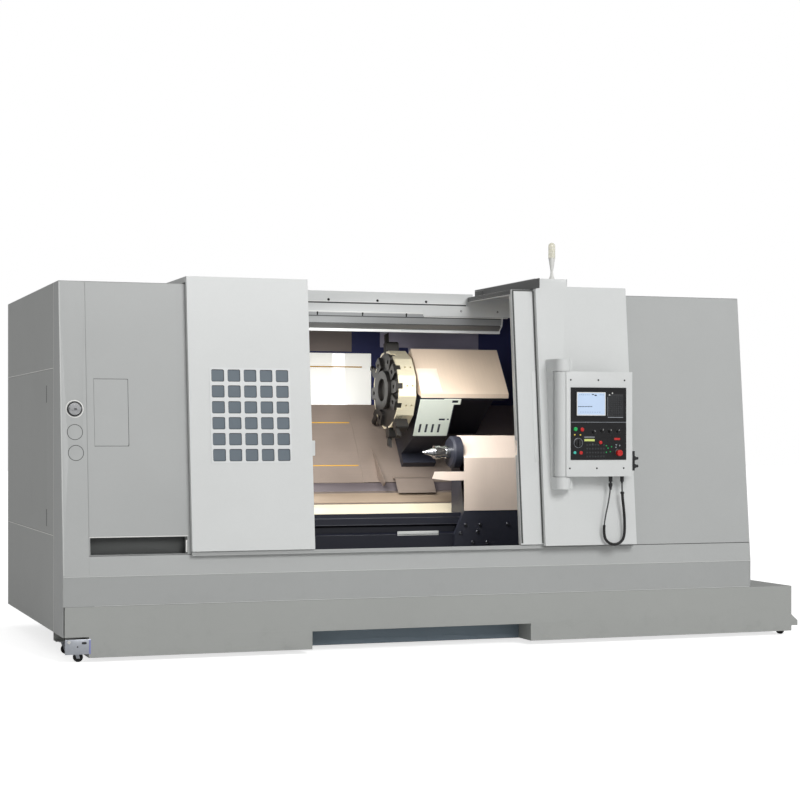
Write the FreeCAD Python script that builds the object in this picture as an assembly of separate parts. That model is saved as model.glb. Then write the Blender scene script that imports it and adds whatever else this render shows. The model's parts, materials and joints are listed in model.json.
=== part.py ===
"""Slant-bed CNC turning lathe with its full enclosure.

Working frame while modelling (mm): X runs along the machine from its left end, Y runs from the front
plane of the base towards the back, Z is up from the floor.  Every shape is moved by ORIGIN when saved,
so that the saved part has its origin at the bottom centre of its box.
"""
import FreeCAD, Part
import math
import os
from FreeCAD import Vector

os.makedirs("parts", exist_ok=True)

# ---------------------------------------------------------------- overall sizes
LENGTH = 4700.0          # cabinet, left end to right end
DEPTH = 2450.0           # front plane to rear panel
TOP = 2325.0             # cabinet roof
SHEET = 3.0              # cabinet sheet thickness
GAP = 0.3                # clearance between pieces that move past each other
FIT = 0.05               # radial running clearance of shafts and pins

# ---------------------------------------------------------------- front of the cabinet
TANK_TOP = 340.0         # top of the coolant tank, bottom of the apron
BREAK = 520.0            # height where the front starts to lean back
LEAN = 0.10              # how far the front leans back for each unit of height
SILL_TOP = 643.0         # top of the sill band
SIDE_BOTTOM = 157.0      # lower edge of the cabinet sides
SILL_FLANGE = 90.0       # depth of the sill's top flange
APRON_FOLDS = (60.0, 40.0)                 # depths of the front apron's lower and upper folds
CABINET_JAMB = 120.0     # depth of the right cabinet's return at the hood
TANK_ROOM = 60.0         # right end sheet clears the tank's rear by this much
COLUMN_W = 160.0         # front left corner column
STRIP_D = 369.0          # depth of the column's side strip
PANEL_END = 1560.0       # right end of the fixed panel behind the left door
PANEL_BOTTOM = 646.0
FLANGE = 30.0            # folded edge of a panel
RECESS = (168.0, 770.0, 649.0, 755.0)      # x0, x1, z0, z1 of the long recess slot
RECESS_D = 100.0
HATCH = (206.0, 417.0, 1314.0, 1725.0)     # access hatch: x0, x1, z0, z1
HATCH_R = 10.0
HATCH_GAP = 0.8
DISC_R = 48.0            # round cover discs on the column
DISC_GROOVE = 3.0
DISC_SITES = ((87.0, 1399.0), (91.0, 1272.0))
LOCK_SITE = (87.0, 1540.0)
LOCK_R = 44.0            # rotary lock rose
LOCK_H = 16.0
LOCK_STEM_R = 9.0
LOCK_STEM = 30.0         # stem behind the panel
LOCK_EDGE = 5.0          # rounded ends of the grip
GRIP = (70.0, 18.0, 22.0)                  # grip bar of the lock: length, width, height

# ---------------------------------------------------------------- sides, roof, rear
SIDE_DOOR = (760.0, 1793.0)                # z0, z1 of the left side door
SIDE_DOOR_GAP = 0.8
SIDE_DOOR_REAR = 30.0                      # frame left behind the door
PULL_Y = 638.0
PULL = (16.0, 110.0, 22.0)                 # slot pulls: width, height, cup depth
PULL_Z = (857.0, 1641.0)
ROOF_OPEN_REAR = 1000.0                    # rear edge of the loading opening, at beam 1
REAR_BAYS = 6
REAR_FOLD = (40.0, 25.0)                   # upright folds inside the back sheet: width, depth
VENT = (240.0, 12.0, 40.0, 1700.0)         # louvre length, height, pitch and lowest z
VENT_ROWS = 5
VENT_X = (1216.0, 3563.0)

# ---------------------------------------------------------------- doors
DOOR_PROUD = 45.0        # front face of a door ahead of the fixed panel
DOOR_T = 40.0            # depth of a door pan
DOOR_BOTTOM = 663.0
LEFT_DOOR = (790.0, 1578.0)
LEFT_DOOR_TOP = TOP + 48.0
RIGHT_DOOR = (2982.0, 3780.0)
RIGHT_DOOR_TOP = TOP + 20.0
HOOD_CHEEK = 36.0        # height of the cheeks under a door's roof part
LEFT_HOOD_REAR = 1000.0
RIGHT_HOOD_REAR = 935.0
PANES = (5, 6)           # window openings across and up
PANE = (84.0, 76.0)
PANE_PITCH = (104.0, 99.4)
PANE_LOW = 1206.0        # lowest window opening
LEFT_PANE_X = 923.0
RIGHT_PANE_X = 3102.0
GLASS_T = 6.0
GLASS_EDGE = 12.0
LATCH = (42.0, 26.0, 96.0)                 # latch block at the left door's edge
LATCH_Z = 1250.0
LATCH_SET = 14.0         # latch behind the door's front face
LATCH_EASE = 0.8         # room round the latch in the other door's edge
TRACK_T = 6.0            # lower track ledge under the doors
TRACK_RIB = 14.0         # guide rib behind the doors' front face
DOOR_FOLD = 22.0         # height of the door pan's lower fold

# ---------------------------------------------------------------- door track beams above the opening
BEAM1 = (950.0, 1000.0, TOP - 45.0)        # y0, y1, z0; its top carries the left door
BEAM2 = (900.0, 950.0, TOP - 103.0)        # its top carries the right door
BEAM2_STEP_X = 2640.0                      # beam 2 hangs lower to the right of this
BEAM2_STEP = 30.0
GUARD_FOLDS = ((0.0, 0.0), (14.0, 74.0), (60.0, 108.0), (60.0, 126.0), (86.0, 126.0))   # back, down
GUARD_OVER = 100.0                         # the guard ends this far behind the hood's left edge
BEAM_WALL = 4.0
BEAM1_SHORT = 110.0                        # beam 1 ends this far before the hood

# ---------------------------------------------------------------- control housing
HOUSING = (3140.0, 3800.0)
HOUSING_PROUD = 85.0
HOUSING_STEP_X = 3370.0
HOUSING_TOP = (TOP + 95.0, TOP + 45.0)             # left and right parts of the hood
HOUSING_BOTTOM = 655.0
HOUSING_REAR = 1190.0
HOUSING_NOTCH = 170.0    # length of the lowered rear end of the left cheek
HOUSING_EASE = 8.0       # cheek above the door's roof, and drop of its rear end
LAMP_SITE = (3325.0, 250.0)
LAMP_R = 23.0
LAMP_BASE_H = 150.0
LAMP_LENS_H = 106.0

# ---------------------------------------------------------------- control panel
HMI = (3246.0, 3725.0, -162.0, -40.0, 1109.0, 1796.0)     # x0, x1, y0, y1, z0, z1
HMI_AXIS = (3246.0, -100.0)
HMI_COLUMN_R = 52.0
HMI_PIN = (12.0, 30.0)                     # pivot pin radius and length
BRACKET_H = 80.0
BRACKET_GAP = 3.0
BRACKET_REACH = 72.0      # arms end this far right of the pivot
BACKBONE = (52.0, 34.0, 42.0)              # left and right sides from the pivot, and start behind it
FACE = (3276.0, 3676.0, 1218.0, 1692.0)    # black face plates: x0, x1, z0, z1
FACE_T = 4.0
FACE_SPLIT = 1465.0                        # between the display unit and the operator panel
SCREEN = (3317.0, 3527.0, 1507.0, 1663.0)
SCREEN_D = 1.5
ESTOP = (3618.0, 1263.0, 20.0, 11.0, 30.0)       # x, z, head radius, stem radius, height
START = (3307.0, 1420.0, 13.0, 8.0, 12.0)
HOLD = (3354.0, 1417.0, 13.0, 8.0, 12.0)
BUTTON_TRAVEL = 4.0
STEM_DEPTH = 24.0
SELECTOR = (3328.0, 1329.0, 21.0, 7.0, 22.0)
KNOBS = ((3443.0, 1401.0), (3502.0, 1410.0), (3559.0, 1407.0), (3618.0, 1407.0))
KNOB = (12.0, 14.0)
CABLE_D = 10.0
CABLE_Y = -100.0
ARC_SHARE = 0.49         # share of a run that each of its bends takes up
GLAND = (12.0, 35.0)
LOOP = (3621.0, 733.0, 75.0)               # x, z of the cable loop's centre and its radius
LOOP_TURNS = 5                             # bends that make the half turn at the loop's bottom
CABLE_LEADS = (76.0, 72.0, 112.0, 86.0)    # leads' ends: below the panel, above the centre, on each side
CABLE_TOP = 1074.0
CABLE_X = (3593.0, 3677.0)                 # where the cable leaves the panel and returns to it

# ---------------------------------------------------------------- slant of the bed
SLANT = math.radians(55.0)
SLANT_FOOT = (1285.0, 1043.0)              # y, z where the way cover plane starts
COVER_LEN = 678.0                          # way cover, measured up the slant
BED_DROP = 130.0                           # bed surface below the way cover plane
WAY_H = 30.0
WAYS = ((20.0, 110.0), (560.0, 650.0))     # box ways, measured up the slant

# ---------------------------------------------------------------- working space
BAY = (1250.0, 3790.0)                     # left and right walls of the working space
BACK_Y = 1780.0
CEILING = TOP - 49.0
END_WALL_SET = 60.0                        # front edge of the end walls behind the front plane
END_WALL_FOOT = 840.0
END_WALL_DROP = 10.0                       # end walls stop this far below the guard
SLOPE_FOLDS = ((1285.0, 1043.0), (1243.0, 981.0), (1203.0, 972.0), (1158.0, 905.0),
               (1110.0, 898.0), (1052.0, 818.0), (1040.0, 818.0))   # y, z of the chip slope's folds

# ---------------------------------------------------------------- bed
BED = (300.0, 3900.0)
BED_BODY_X = 700.0                         # the full-height casting starts here
BED_FOOT = 75.0
BED_FRONT = 820.0
BED_SHELF = 815.0                          # flat top in front, carries the tailstock
BED_REAR = 2150.0
SHELF_REAR = 1100.0
BED_TOE = 40.0                             # the slanted face starts this far below the way cover's foot
BED_HEAD = 760.0                           # and ends this far up the slant
MOTOR_DECK = 450.0                         # top of the low end that carries the spindle motor
WAY_START = 2.0                            # ways start this far inside the left wall
WAY_END = 20.0                             # and end this far before the bed's right end
BED_GROOVE = (700.0, 764.0, 28.0, 12.0)    # z0, z1, depth and slope of the groove along the front
FOOT_PAD = (70.0, 30.0)
FOOT_SCREW_R = 20.0
FOOT_X = (380.0, 1400.0, 2600.0, 3800.0)
FOOT_Y = (890.0, 2080.0)
TAIL_WAY = (852.0, 912.0, 25.0)            # y0, y1 and height of the tailstock's way

# ---------------------------------------------------------------- spindle line
AXIS_Y = 900.0
AXIS_Z = 1261.0
HEADSTOCK = (720.0, 1200.0)
HEADSTOCK_FOLDS = ((700.0, 950.0), (700.0, 1530.0), (1180.0, 1580.0))     # y, z of its front and top
HEADSTOCK_REAR = 1560.0
HEADSTOCK_HEAD = 527.0                     # its rear corner on the bed, up the slant
HEADSTOCK_BOSS = (60.0, 45.0)              # boss wider than the spindle by, length
SPINDLE_R = 100.0
SPINDLE = (660.0, 1270.0)
SPINDLE_BORE = 40.0
PULLEY = (170.0, 54.0, 5, 6.0)             # belt pulley: radius, width, grooves and their depth
CHUCK = (1270.0, 1420.0, 200.0)            # x0, x1, radius
CHUCK_EDGE = 8.0
JAW = (44.0, 90.0, 60.0)                   # width, radial length, height
JAW_STEP = (20.0, 26.0)                    # its steps along the axis and outwards
JAW_IN = 70.0                              # jaw's inner end from the axis
JAW_SLOT_D = 26.0
MOTOR = (330.0, 640.0, 130.0)              # spindle motor: x0, x1, half width
MOTOR_Y = 1150.0
MOTOR_RAISE = 40.0                         # foot under the motor
MOTOR_FINS = (12, 12.0, 6.0, 30.0)         # fins: number, height, thickness, and bare ends
MOTOR_PULLEY = (60.0, 50.0)                # radius, width

# ---------------------------------------------------------------- carriage
SADDLE = (2580.0, 3000.0)
FIXED_LEAF = (1252.0, 1838.0)
MID_LEAF = (1800.0, 2365.0)
SADDLE_LEAF = (2335.0, 3780.0)
RIGHT_LEAF = (3010.0, 3788.0)
STAY = (60.0, 8.0)                         # stays under the fixed leaves: width, thickness
STAY_S = (150.0, 420.0)
LEAF_T = 3.0
LEAF_STEP = LEAF_T + GAP                   # each leaf lies this much above the next

SADDLE_RUN = (5.0, 665.0)                  # saddle's ends, measured up the slant
WAY_LIP = 14.0                             # lips beside the ways
SKIRT = (40.0, 48.0, 120.0)                # cover's skirt: start up the slant, height, reach below the foot
SKIRT_X = (2555.0, 2840.0)
FIN = (300.0, 70.0, (60.0, 110.0))         # cover's fin: upper end, lower end, its heights there
FIN_X = 2445.0
FIN_T = 7.0
SCREW = (335.0, 58.0, 22.0)                # ballscrew: place up the slant, height over the bed, radius
SCREW_SET = 20.0                           # its ends inside the left wall and the bed's end
SCREW_BEARING = (70.0, 100.0, 70.0)        # half width, height, length
SCREW_MOTOR = (65.0, 2.0, 112.0, 200.0)    # half width, lower and upper face over the bed, length

# ---------------------------------------------------------------- turret
TURRET_AT = (492.0, 440.4)                 # turret axis, up the slant and out from it
DISC = (2474.0, 2600.0, 270.0)             # x0, x1, across-flats radius
DISC_BOSS = (135.0, 34.0)                  # radius of the face's boss and how far it stands out
DISC_RECESS = (81.0, 22.0)                 # radius and depth of the boss's recess
STATIONS = 12
TOOL_SLOT = (40.0, 30.0, 165.0)            # width, depth and inner end of a station's slot
BOLT_HOLE = (7.0, 20.0)                    # radius and depth of the rim's bolt holes
BOLT_X = (62.0, 102.0)                     # their places along the rim
TURNING_STATIONS = (0, 1, 3, 5, 7)         # stations with a square turning tool; the others hold a boring block
BORING_BLOCK = (84.0, 20.0, 97.0, 16.0)    # width, height on the face, radial length, bore radius
TURNING_BLOCK = (64.0, 92.0, 70.0)         # width, length along X and radial height on the rim
TOOL_SHANK = 26.0                          # side of a square tool
TOOL_REACH = 408.0                         # tool tip from the turret axis
HEAD = (2640.0, 2888.0, 3277.0)            # turret head: left, end of the deep part, right
HEAD_LOW = (150.0, 360.0)                  # lower corner, up the slant and out
HEAD_NOSE = (290.0, 675.0)
HEAD_FOOT = (130.0, 60.0, 210.0)           # foot's start, its height, and where the front face starts
NECK_R = 150.0                             # neck between the head and the disc
COVER_AHEAD = 14.0                         # the cover starts this far ahead of the head
HEAD_UNDER = (271.0, 654.0)                # end of the nose's short face, start of the undercut
COVER_CLEAR = 4.0
COVER_END = 60.0                           # depth of the cover's end plates
HEAD_BACK = 680.0
HEAD_SHELF = 600.0
HEAD_STEP = 420.0                          # where the shallow part of the head starts, up the slant
GUARD_T = 5.0                              # outer face of the slotted guard from the head's undercut
GUARD_PLATE = ((14.0, 312.0), (2624.0, 2878.0))      # along the undercut, and X
GUARD_EAR = ((8.0, 52.0), (2800.0, 2927.0))
GUARD_SLOTS = 4
GUARD_SLOT = (214.0, 286.0, 2656.0, 17.0, 47.0)      # along the undercut, first X, width, pitch
GUARD_HOLES = (((18.0, 40.0), (2862.0, 2908.0)), ((168.0, 186.0), (2792.0, 2838.0)),
               ((168.0, 182.0), (2852.0, 2868.0)))

# ---------------------------------------------------------------- tailstock
TAIL = (2899.0, 3500.0)
TAIL_FRONT = 785.0
TAIL_REAR = 1030.0
TAIL_SHOULDER = 1222.0
TAIL_PEAK = (930.0, 1376.0)
TAIL_BACK = ((1000.0, 1326.0), (1030.0, 1290.0))     # y, z of the folds behind the peak
TAIL_FOOT = (2832.0, 604.0, 696.0)         # foot's left end, its lower edge and that end's upper corner
TAIL_OVER = 12.0                           # foot and rails run this far up into the body
NOSE = (2832.0, 112.0, 14.0)               # left face of the nose, radius, chamfer
APRON = ((2680.0, 1128.0), (2664.0, 1080.0), (2783.0, 1066.0))      # x, z of the cover apron's left end
APRON_OVER = 30.0                          # the apron overlaps the cover by this much
COVER_FOOT = 856.0                         # lower edge of the tailstock's cover
QUILL = (2800.0, 3400.0, 46.0)
CENTRE_TIP = 2631.0
CENTRE_R = 44.0
SHANK = (18.0, 90.0)

# ---------------------------------------------------------------- coolant tank
TANK = (10.0, 5021.0, 0.0, 640.0)          # x0, x1, y0, y1
TANK_BOTTOM = 30.0
TANK_WALL = 4.0
TANK_BODY_X = 157.0                        # the deep part starts here
TOE = (1569.0, 3065.0, 200.0, 143.0)       # x0, x1, depth, top of the toe recess
TANK_MOUTH = (300.0, 4500.0, 60.0, 560.0)
WHEEL_R = 30.0
WHEEL_W = 22.0
WHEEL_EDGE = 4.0
TRAIL = 18.0
FORK_TOP = 78.0
FORK_T = 4.0
FORK_R = 24.0
FORK_CHEEK = (12.0, 16.0, 10.0, 8.0)       # cheek's upper edges from the stem, half foot, foot below the axle
AXLE_R = 5.0
STEM_R = 8.0
CASTER_SITES = {"front_left": (86.0, 82.0), "rear_left": (86.0, 540.0),
                "front_right": (4967.0, 92.0), "rear_right": (4967.0, 540.0)}
CASTER_WELL = 56.0
CASTER_PLATE = 50.0                        # half width of the plates over the left casters
EAR = (48.0, 66.0, 100.0, 144.0)           # end bracket: reach, lower edge, heights of its end and its root

# ---------------------------------------------------------------- derived values
ESTOP_FRONT = HMI[2] - FACE_T - ESTOP[4]
RIGHT_END = TANK[1] + EAR[0]
ORIGIN = Vector(-RIGHT_END / 2, -(ESTOP_FRONT + DEPTH) / 2, 0)
SIN, COS = math.sin(SLANT), math.cos(SLANT)
LOCK_AXIS = Vector(0, -1, LEAN).normalize()
WORKING_STATION = 90.0 + math.degrees(SLANT)       # degrees from upright: this station faces the spindle line


# ================================================================ helpers
def box(x0, y0, z0, x1, y1, z1):
    """Block between two corners."""
    return Part.makeBox(x1 - x0, y1 - y0, z1 - z0, Vector(x0, y0, z0))


def rod(x, y, z, r, length, axis):
    """Cylinder from a point along an axis."""
    return Part.makeCylinder(r, length, Vector(x, y, z), Vector(*axis))


def prism(points, direction):
    """Closed polygon swept along a direction."""
    wire = Part.makePolygon([Vector(*p) for p in points] + [Vector(*points[0])])
    return Part.Face(wire).extrude(Vector(*direction))


def section_x(points, x0, x1):
    """Polygon of (y, z) points swept along X."""
    return prism([(x0, y, z) for y, z in points], (x1 - x0, 0, 0))


def front(z, proud=0.0):
    """Y of the front plane at height z: upright to BREAK, then leaning back."""
    return LEAN * max(z - BREAK, 0.0) - proud


def lean_plate(x0, x1, z0, z1, proud, t):
    """Plate of thickness t whose front face lies in the leaning plane."""
    pts = [(front(z0, proud), z0), (front(z1, proud), z1),
           (front(z1, proud) + t, z1), (front(z0, proud) + t, z0)]
    return section_x(pts, x0, x1)


def folded(points, t, x0, x1):
    """Sheet of thickness t laid along an open line of (y, z) points, offset to its left side."""
    other = []
    for i, (y, z) in enumerate(points):
        before = points[max(i - 1, 0)]
        after = points[min(i + 1, len(points) - 1)]
        normals = []
        for a, b in ((before, (y, z)), ((y, z), after)):
            run = math.hypot(b[0] - a[0], b[1] - a[1])
            if run:
                normals.append((-(b[1] - a[1]) / run, (b[0] - a[0]) / run))
        n = [sum(c) / len(normals) for c in zip(*normals)]
        size = (n[0] ** 2 + n[1] ** 2)
        other.append((y + t * n[0] / size, z + t * n[1] / size))
    return section_x(list(points) + other[::-1], x0, x1)


def on_slant(s, h):
    """(y, z) of a point s up the slant and h out from the way cover plane."""
    return (SLANT_FOOT[0] + s * COS - h * SIN, SLANT_FOOT[1] + s * SIN + h * COS)


def slant_section(points, x0, x1):
    """Polygon of (s, h) points swept along X."""
    return section_x([on_slant(s, h) for s, h in points], x0, x1)


def slant_block(s0, s1, h0, h1, x0, x1):
    """Block lying square to the slant."""
    return slant_section([(s0, h0), (s1, h0), (s1, h1), (s0, h1)], x0, x1)


def hatch_shape(gap):
    """Upright cutter of the hatch, smaller by a gap all round, with its two right corners rounded."""
    x0, x1, z0, z1 = HATCH
    core = box(x0 + gap, -20, z0 + gap, x1 - gap, 400, z1 - gap)
    return core.makeFillet(HATCH_R, [e for e in core.Edges if abs(e.tangentAt(e.FirstParameter).y) > 0.9
                                     and e.BoundBox.XMin > x1 - gap - 1])


def save(name, shape):
    """Move a finished piece to the part's own origin and write it."""
    moved = shape.copy()
    moved.translate(ORIGIN)
    moved.exportStep("parts/%s.step" % name)
    print(name, len(moved.Solids), "valid" if moved.isValid() else "INVALID", round(moved.Volume / 1e6, 2))


# ================================================================ fixed cabinet
def front_left_column():
    """Corner column: leaning front, side strip, edge return, lock hole and two disc grooves."""
    face = lean_plate(0, COLUMN_W, BREAK, TOP, 0, SHEET)
    strip = section_x([(0, SIDE_BOTTOM), (0, BREAK), (front(TOP), TOP), (STRIP_D, TOP),
                       (STRIP_D, SIDE_BOTTOM)], 0, SHEET)
    ret = lean_plate(COLUMN_W - SHEET, COLUMN_W, BREAK, TOP, 0, FLANGE)
    body = face.fuse([strip, ret])
    for x, z in DISC_SITES:
        y = front(z)
        body = body.cut(rod(x, y - DISC_R, z, DISC_R, DISC_R + SHEET / 2, (0, 1, 0)).cut(
            rod(x, y - DISC_R - 1, z, DISC_R - DISC_GROOVE, DISC_R + SHEET, (0, 1, 0))))
    x, z = LOCK_SITE
    hole = Part.makeCylinder(LOCK_STEM_R + FIT, 4 * SHEET, Vector(x, front(z), z) - LOCK_AXIS * 2 * SHEET,
                             LOCK_AXIS)
    return body.cut(hole).removeSplitter()


def lock_handle():
    """Rotary lock: rose, grip bar across it and a stem through the column."""
    x, z = LOCK_SITE
    tilt = LOCK_AXIS
    base = Vector(x, front(z), z)
    rose = Part.makeCone(LOCK_R, LOCK_R * 0.8, LOCK_H, base + tilt * GAP, tilt)
    stem = Part.makeCylinder(LOCK_STEM_R, LOCK_STEM + LOCK_H, base - tilt * LOCK_STEM, tilt)
    length, width, height = GRIP
    bar = Part.makeBox(length, width, height, Vector(-length / 2, -width / 2, 0))
    bar = bar.makeFillet(LOCK_EDGE, [e for e in bar.Edges if abs(e.tangentAt(0).z) > 0.9])
    bar.Placement = FreeCAD.Placement(base + tilt * LOCK_H,
                                      FreeCAD.Rotation(Vector(0, 0, 1), tilt))
    return rose.fuse([stem, bar]).removeSplitter()


def front_left_panel():
    """Fixed panel from the column to the opening, with the hatch opening and the long recess."""
    x0, x1, z0, z1 = RECESS
    body = lean_plate(COLUMN_W + GAP, PANEL_END, PANEL_BOTTOM, TOP, 0, SHEET)
    low, high, back = z0 - SHEET, z1 + SHEET, RECESS_D + SHEET
    tray = section_x([(front(low) + 1, low), (back, low), (back, high), (front(high) + 1, high)],
                     x0 - SHEET, x1 + SHEET)
    body = body.fuse(tray).cut(box(x0, -20, z0, x1, RECESS_D, z1))
    body = body.cut(hatch_shape(0))
    end = lean_plate(PANEL_END - SHEET, PANEL_END, PANEL_BOTTOM, TOP, 0, FLANGE)
    return body.fuse(end).removeSplitter()


def access_hatch():
    """Flush hatch in the front left panel, with a rolled bead along its left edge as the hinge."""
    x0, x1, z0, z1 = HATCH
    r = SHEET / 2
    x, low, high = x0 + HATCH_GAP + r, z0 + HATCH_GAP, z1 - HATCH_GAP
    plate = lean_plate(x, x1, z0, z1, 0, SHEET).common(hatch_shape(HATCH_GAP))
    start, end = Vector(x, front(low) + r, low), Vector(x, front(high) + r, high)
    return plate.fuse(Part.makeCylinder(r, (end - start).Length, start, end - start)).removeSplitter()


def left_side_panel():
    """Left end sheet with the side door's opening."""
    body = box(0, STRIP_D + GAP, SIDE_BOTTOM, SHEET, DEPTH, TOP)
    body = body.cut(box(-1, STRIP_D - 1, SIDE_DOOR[0], SHEET + 1, DEPTH - SIDE_DOOR_REAR, SIDE_DOOR[1]))
    stop = box(SHEET, STRIP_D - FLANGE, SIDE_DOOR[0] - FLANGE, 2 * SHEET, STRIP_D + FLANGE,
               SIDE_DOOR[1] + FLANGE)
    return body.fuse(stop).removeSplitter()


def side_door():
    """Side door with two slot pulls and a rolled bead along its rear edge as the hinge."""
    g, r = SIDE_DOOR_GAP, (SHEET - GAP) / 2
    y0, y1 = STRIP_D + g, DEPTH - SIDE_DOOR_REAR - g
    z0, z1 = SIDE_DOOR[0] + g, SIDE_DOOR[1] - g
    body = box(0, y0, z0, 2 * r, y1 - r, z1).fuse(rod(r, y1 - r, z0, r, z1 - z0, (0, 0, 1)))
    w, h, d = PULL
    for z in PULL_Z:
        cup = box(0, PULL_Y - w / 2 - 2, z - h / 2 - 2, d + 2, PULL_Y + w / 2 + 2, z + h / 2 + 2)
        body = body.fuse(cup).cut(box(-1, PULL_Y - w / 2, z - h / 2, d, PULL_Y + w / 2, z + h / 2))
    return body.removeSplitter()


def front_apron():
    """Band between the tank and the break line, folded back along its lower edge."""
    y, (low, high) = SHEET / 2, APRON_FOLDS
    line = [(y + high, BREAK), (y, BREAK), (y, TANK_TOP), (y + low, TANK_TOP)]
    return folded(line, SHEET, SHEET + GAP, LENGTH - SHEET - GAP)


def front_sill():
    """Leaning sill band with its top flange and the lower door track."""
    face = lean_plate(COLUMN_W + GAP, LENGTH, BREAK + GAP, SILL_TOP, 0, SHEET)
    top = box(COLUMN_W + GAP, front(SILL_TOP), SILL_TOP - SHEET, LENGTH, front(SILL_TOP) + SILL_FLANGE,
              SILL_TOP)
    y = front(DOOR_BOTTOM, DOOR_PROUD)
    track = box(LEFT_DOOR[0], y + 2 * SHEET, SILL_TOP - TRACK_T, HOUSING[1], front(SILL_TOP) + SHEET, SILL_TOP)
    rib = box(LEFT_DOOR[0], y + TRACK_RIB, SILL_TOP, HOUSING[1] - 2 * SHEET, y + TRACK_RIB + 2 * SHEET,
              DOOR_BOTTOM - SHEET)
    return face.fuse([top, track, rib]).removeSplitter()


def right_cabinet():
    """Right cabinet: leaning front and upright end in one folded shell."""
    face = lean_plate(HOUSING[1] + GAP, LENGTH, SILL_TOP + GAP, TOP, 0, SHEET)
    end = section_x([(0, TANK_TOP), (0, BREAK), (front(TOP), TOP), (DEPTH, TOP), (DEPTH, SIDE_BOTTOM),
                     (TANK[3] + TANK_ROOM, SIDE_BOTTOM), (TANK[3] + TANK_ROOM, TANK_TOP)],
                    LENGTH - SHEET, LENGTH)
    end = end.cut(lean_plate(LENGTH - 2 * SHEET, LENGTH + 1, BREAK, SILL_TOP + GAP, GAP, SHEET + 2 * GAP))
    x0, x1 = LENGTH - 2 * SHEET, LENGTH + 1
    end = end.cut(box(x0, front(SILL_TOP) - SHEET, SILL_TOP - SHEET - GAP, x1,
                      front(SILL_TOP) + SILL_FLANGE + GAP, SILL_TOP + GAP))
    end = end.cut(box(x0, -1, BREAK - 1, x1, front(SILL_TOP), SILL_TOP + GAP))
    inner = lean_plate(HOUSING[1] + GAP, HOUSING[1] + GAP + SHEET, SILL_TOP + GAP, TOP, 0, CABINET_JAMB)
    return face.fuse([end, inner]).removeSplitter()


def roof_panel():
    """Roof sheet, open over the working space for loading by crane."""
    z0 = TOP + GAP
    y0 = front(TOP) + GAP
    body = box(0, y0, z0, LENGTH, DEPTH, z0 + SHEET)
    body = body.cut(box(PANEL_END, y0 - 1, z0 - 1, HOUSING[1], ROOF_OPEN_REAR, z0 + 9))
    return body.cut(box(LEFT_DOOR[0], BEAM1[0], z0 - 1, PANEL_END + 1, BEAM1[1], z0 + 9))


def rear_enclosure():
    """Back sheet with upright stiffening folds and louvred vents."""
    x0, x1 = SHEET + GAP, LENGTH - SHEET - GAP
    body = box(x0, DEPTH - SHEET, SIDE_BOTTOM, x1, DEPTH, TOP)
    w, d = REAR_FOLD
    for i in range(1, REAR_BAYS):
        x = x0 + (x1 - x0) * i / REAR_BAYS
        body = body.fuse(box(x - w / 2, DEPTH - SHEET - d, SIDE_BOTTOM, x + w / 2, DEPTH - SHEET, TOP))
    length, height, pitch, z0 = VENT
    for x in VENT_X:
        for row in range(VENT_ROWS):
            z = z0 + row * pitch
            body = body.cut(box(x, DEPTH - 2 * SHEET, z, x + length, DEPTH + 1, z + height))
    return body.removeSplitter()


# ================================================================ opening, track and housing
def door_track():
    """Two stepped beams across the top of the opening and the sloped guard below them."""
    y0, y1, z0 = BEAM1
    x0, x1 = LEFT_DOOR[0], HOUSING[1]
    top1 = LEFT_DOOR_TOP - SHEET - GAP
    one = box(x0, y0, z0, HOUSING[0] - BEAM1_SHORT, y1, top1)
    one = one.cut(box(x0 - 1, y0 + BEAM_WALL, z0 + BEAM_WALL, x1, y1 + 1, top1 - BEAM_WALL))
    b0, _, bz = BEAM2
    top2 = z0
    two = box(x0, b0, bz, x1, y1, top2).cut(
        box(x0 - 1, b0 + BEAM_WALL, bz - 1, x1 + 1, y1 + 1, top2 - BEAM_WALL))
    lip = box(BEAM2_STEP_X, b0 - BEAM_WALL, bz - BEAM2_STEP / 2, x1, b0, bz + BEAM2_STEP)
    guard = folded([(b0 + back, bz - down) for back, down in GUARD_FOLDS], SHEET, x0, HOUSING[0] + GUARD_OVER)
    return one.fuse([two, lip, guard]).removeSplitter()


def to_hood(y, z0, z1, x0, x1):
    """Block from an upright plane at y back into the hood's leaning front sheet."""
    return section_x([(y, z0), (y, z1), (front(z1, HOUSING_PROUD) + 1, z1), (front(z0, HOUSING_PROUD) + 1, z0)],
                     x0, x1)


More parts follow.
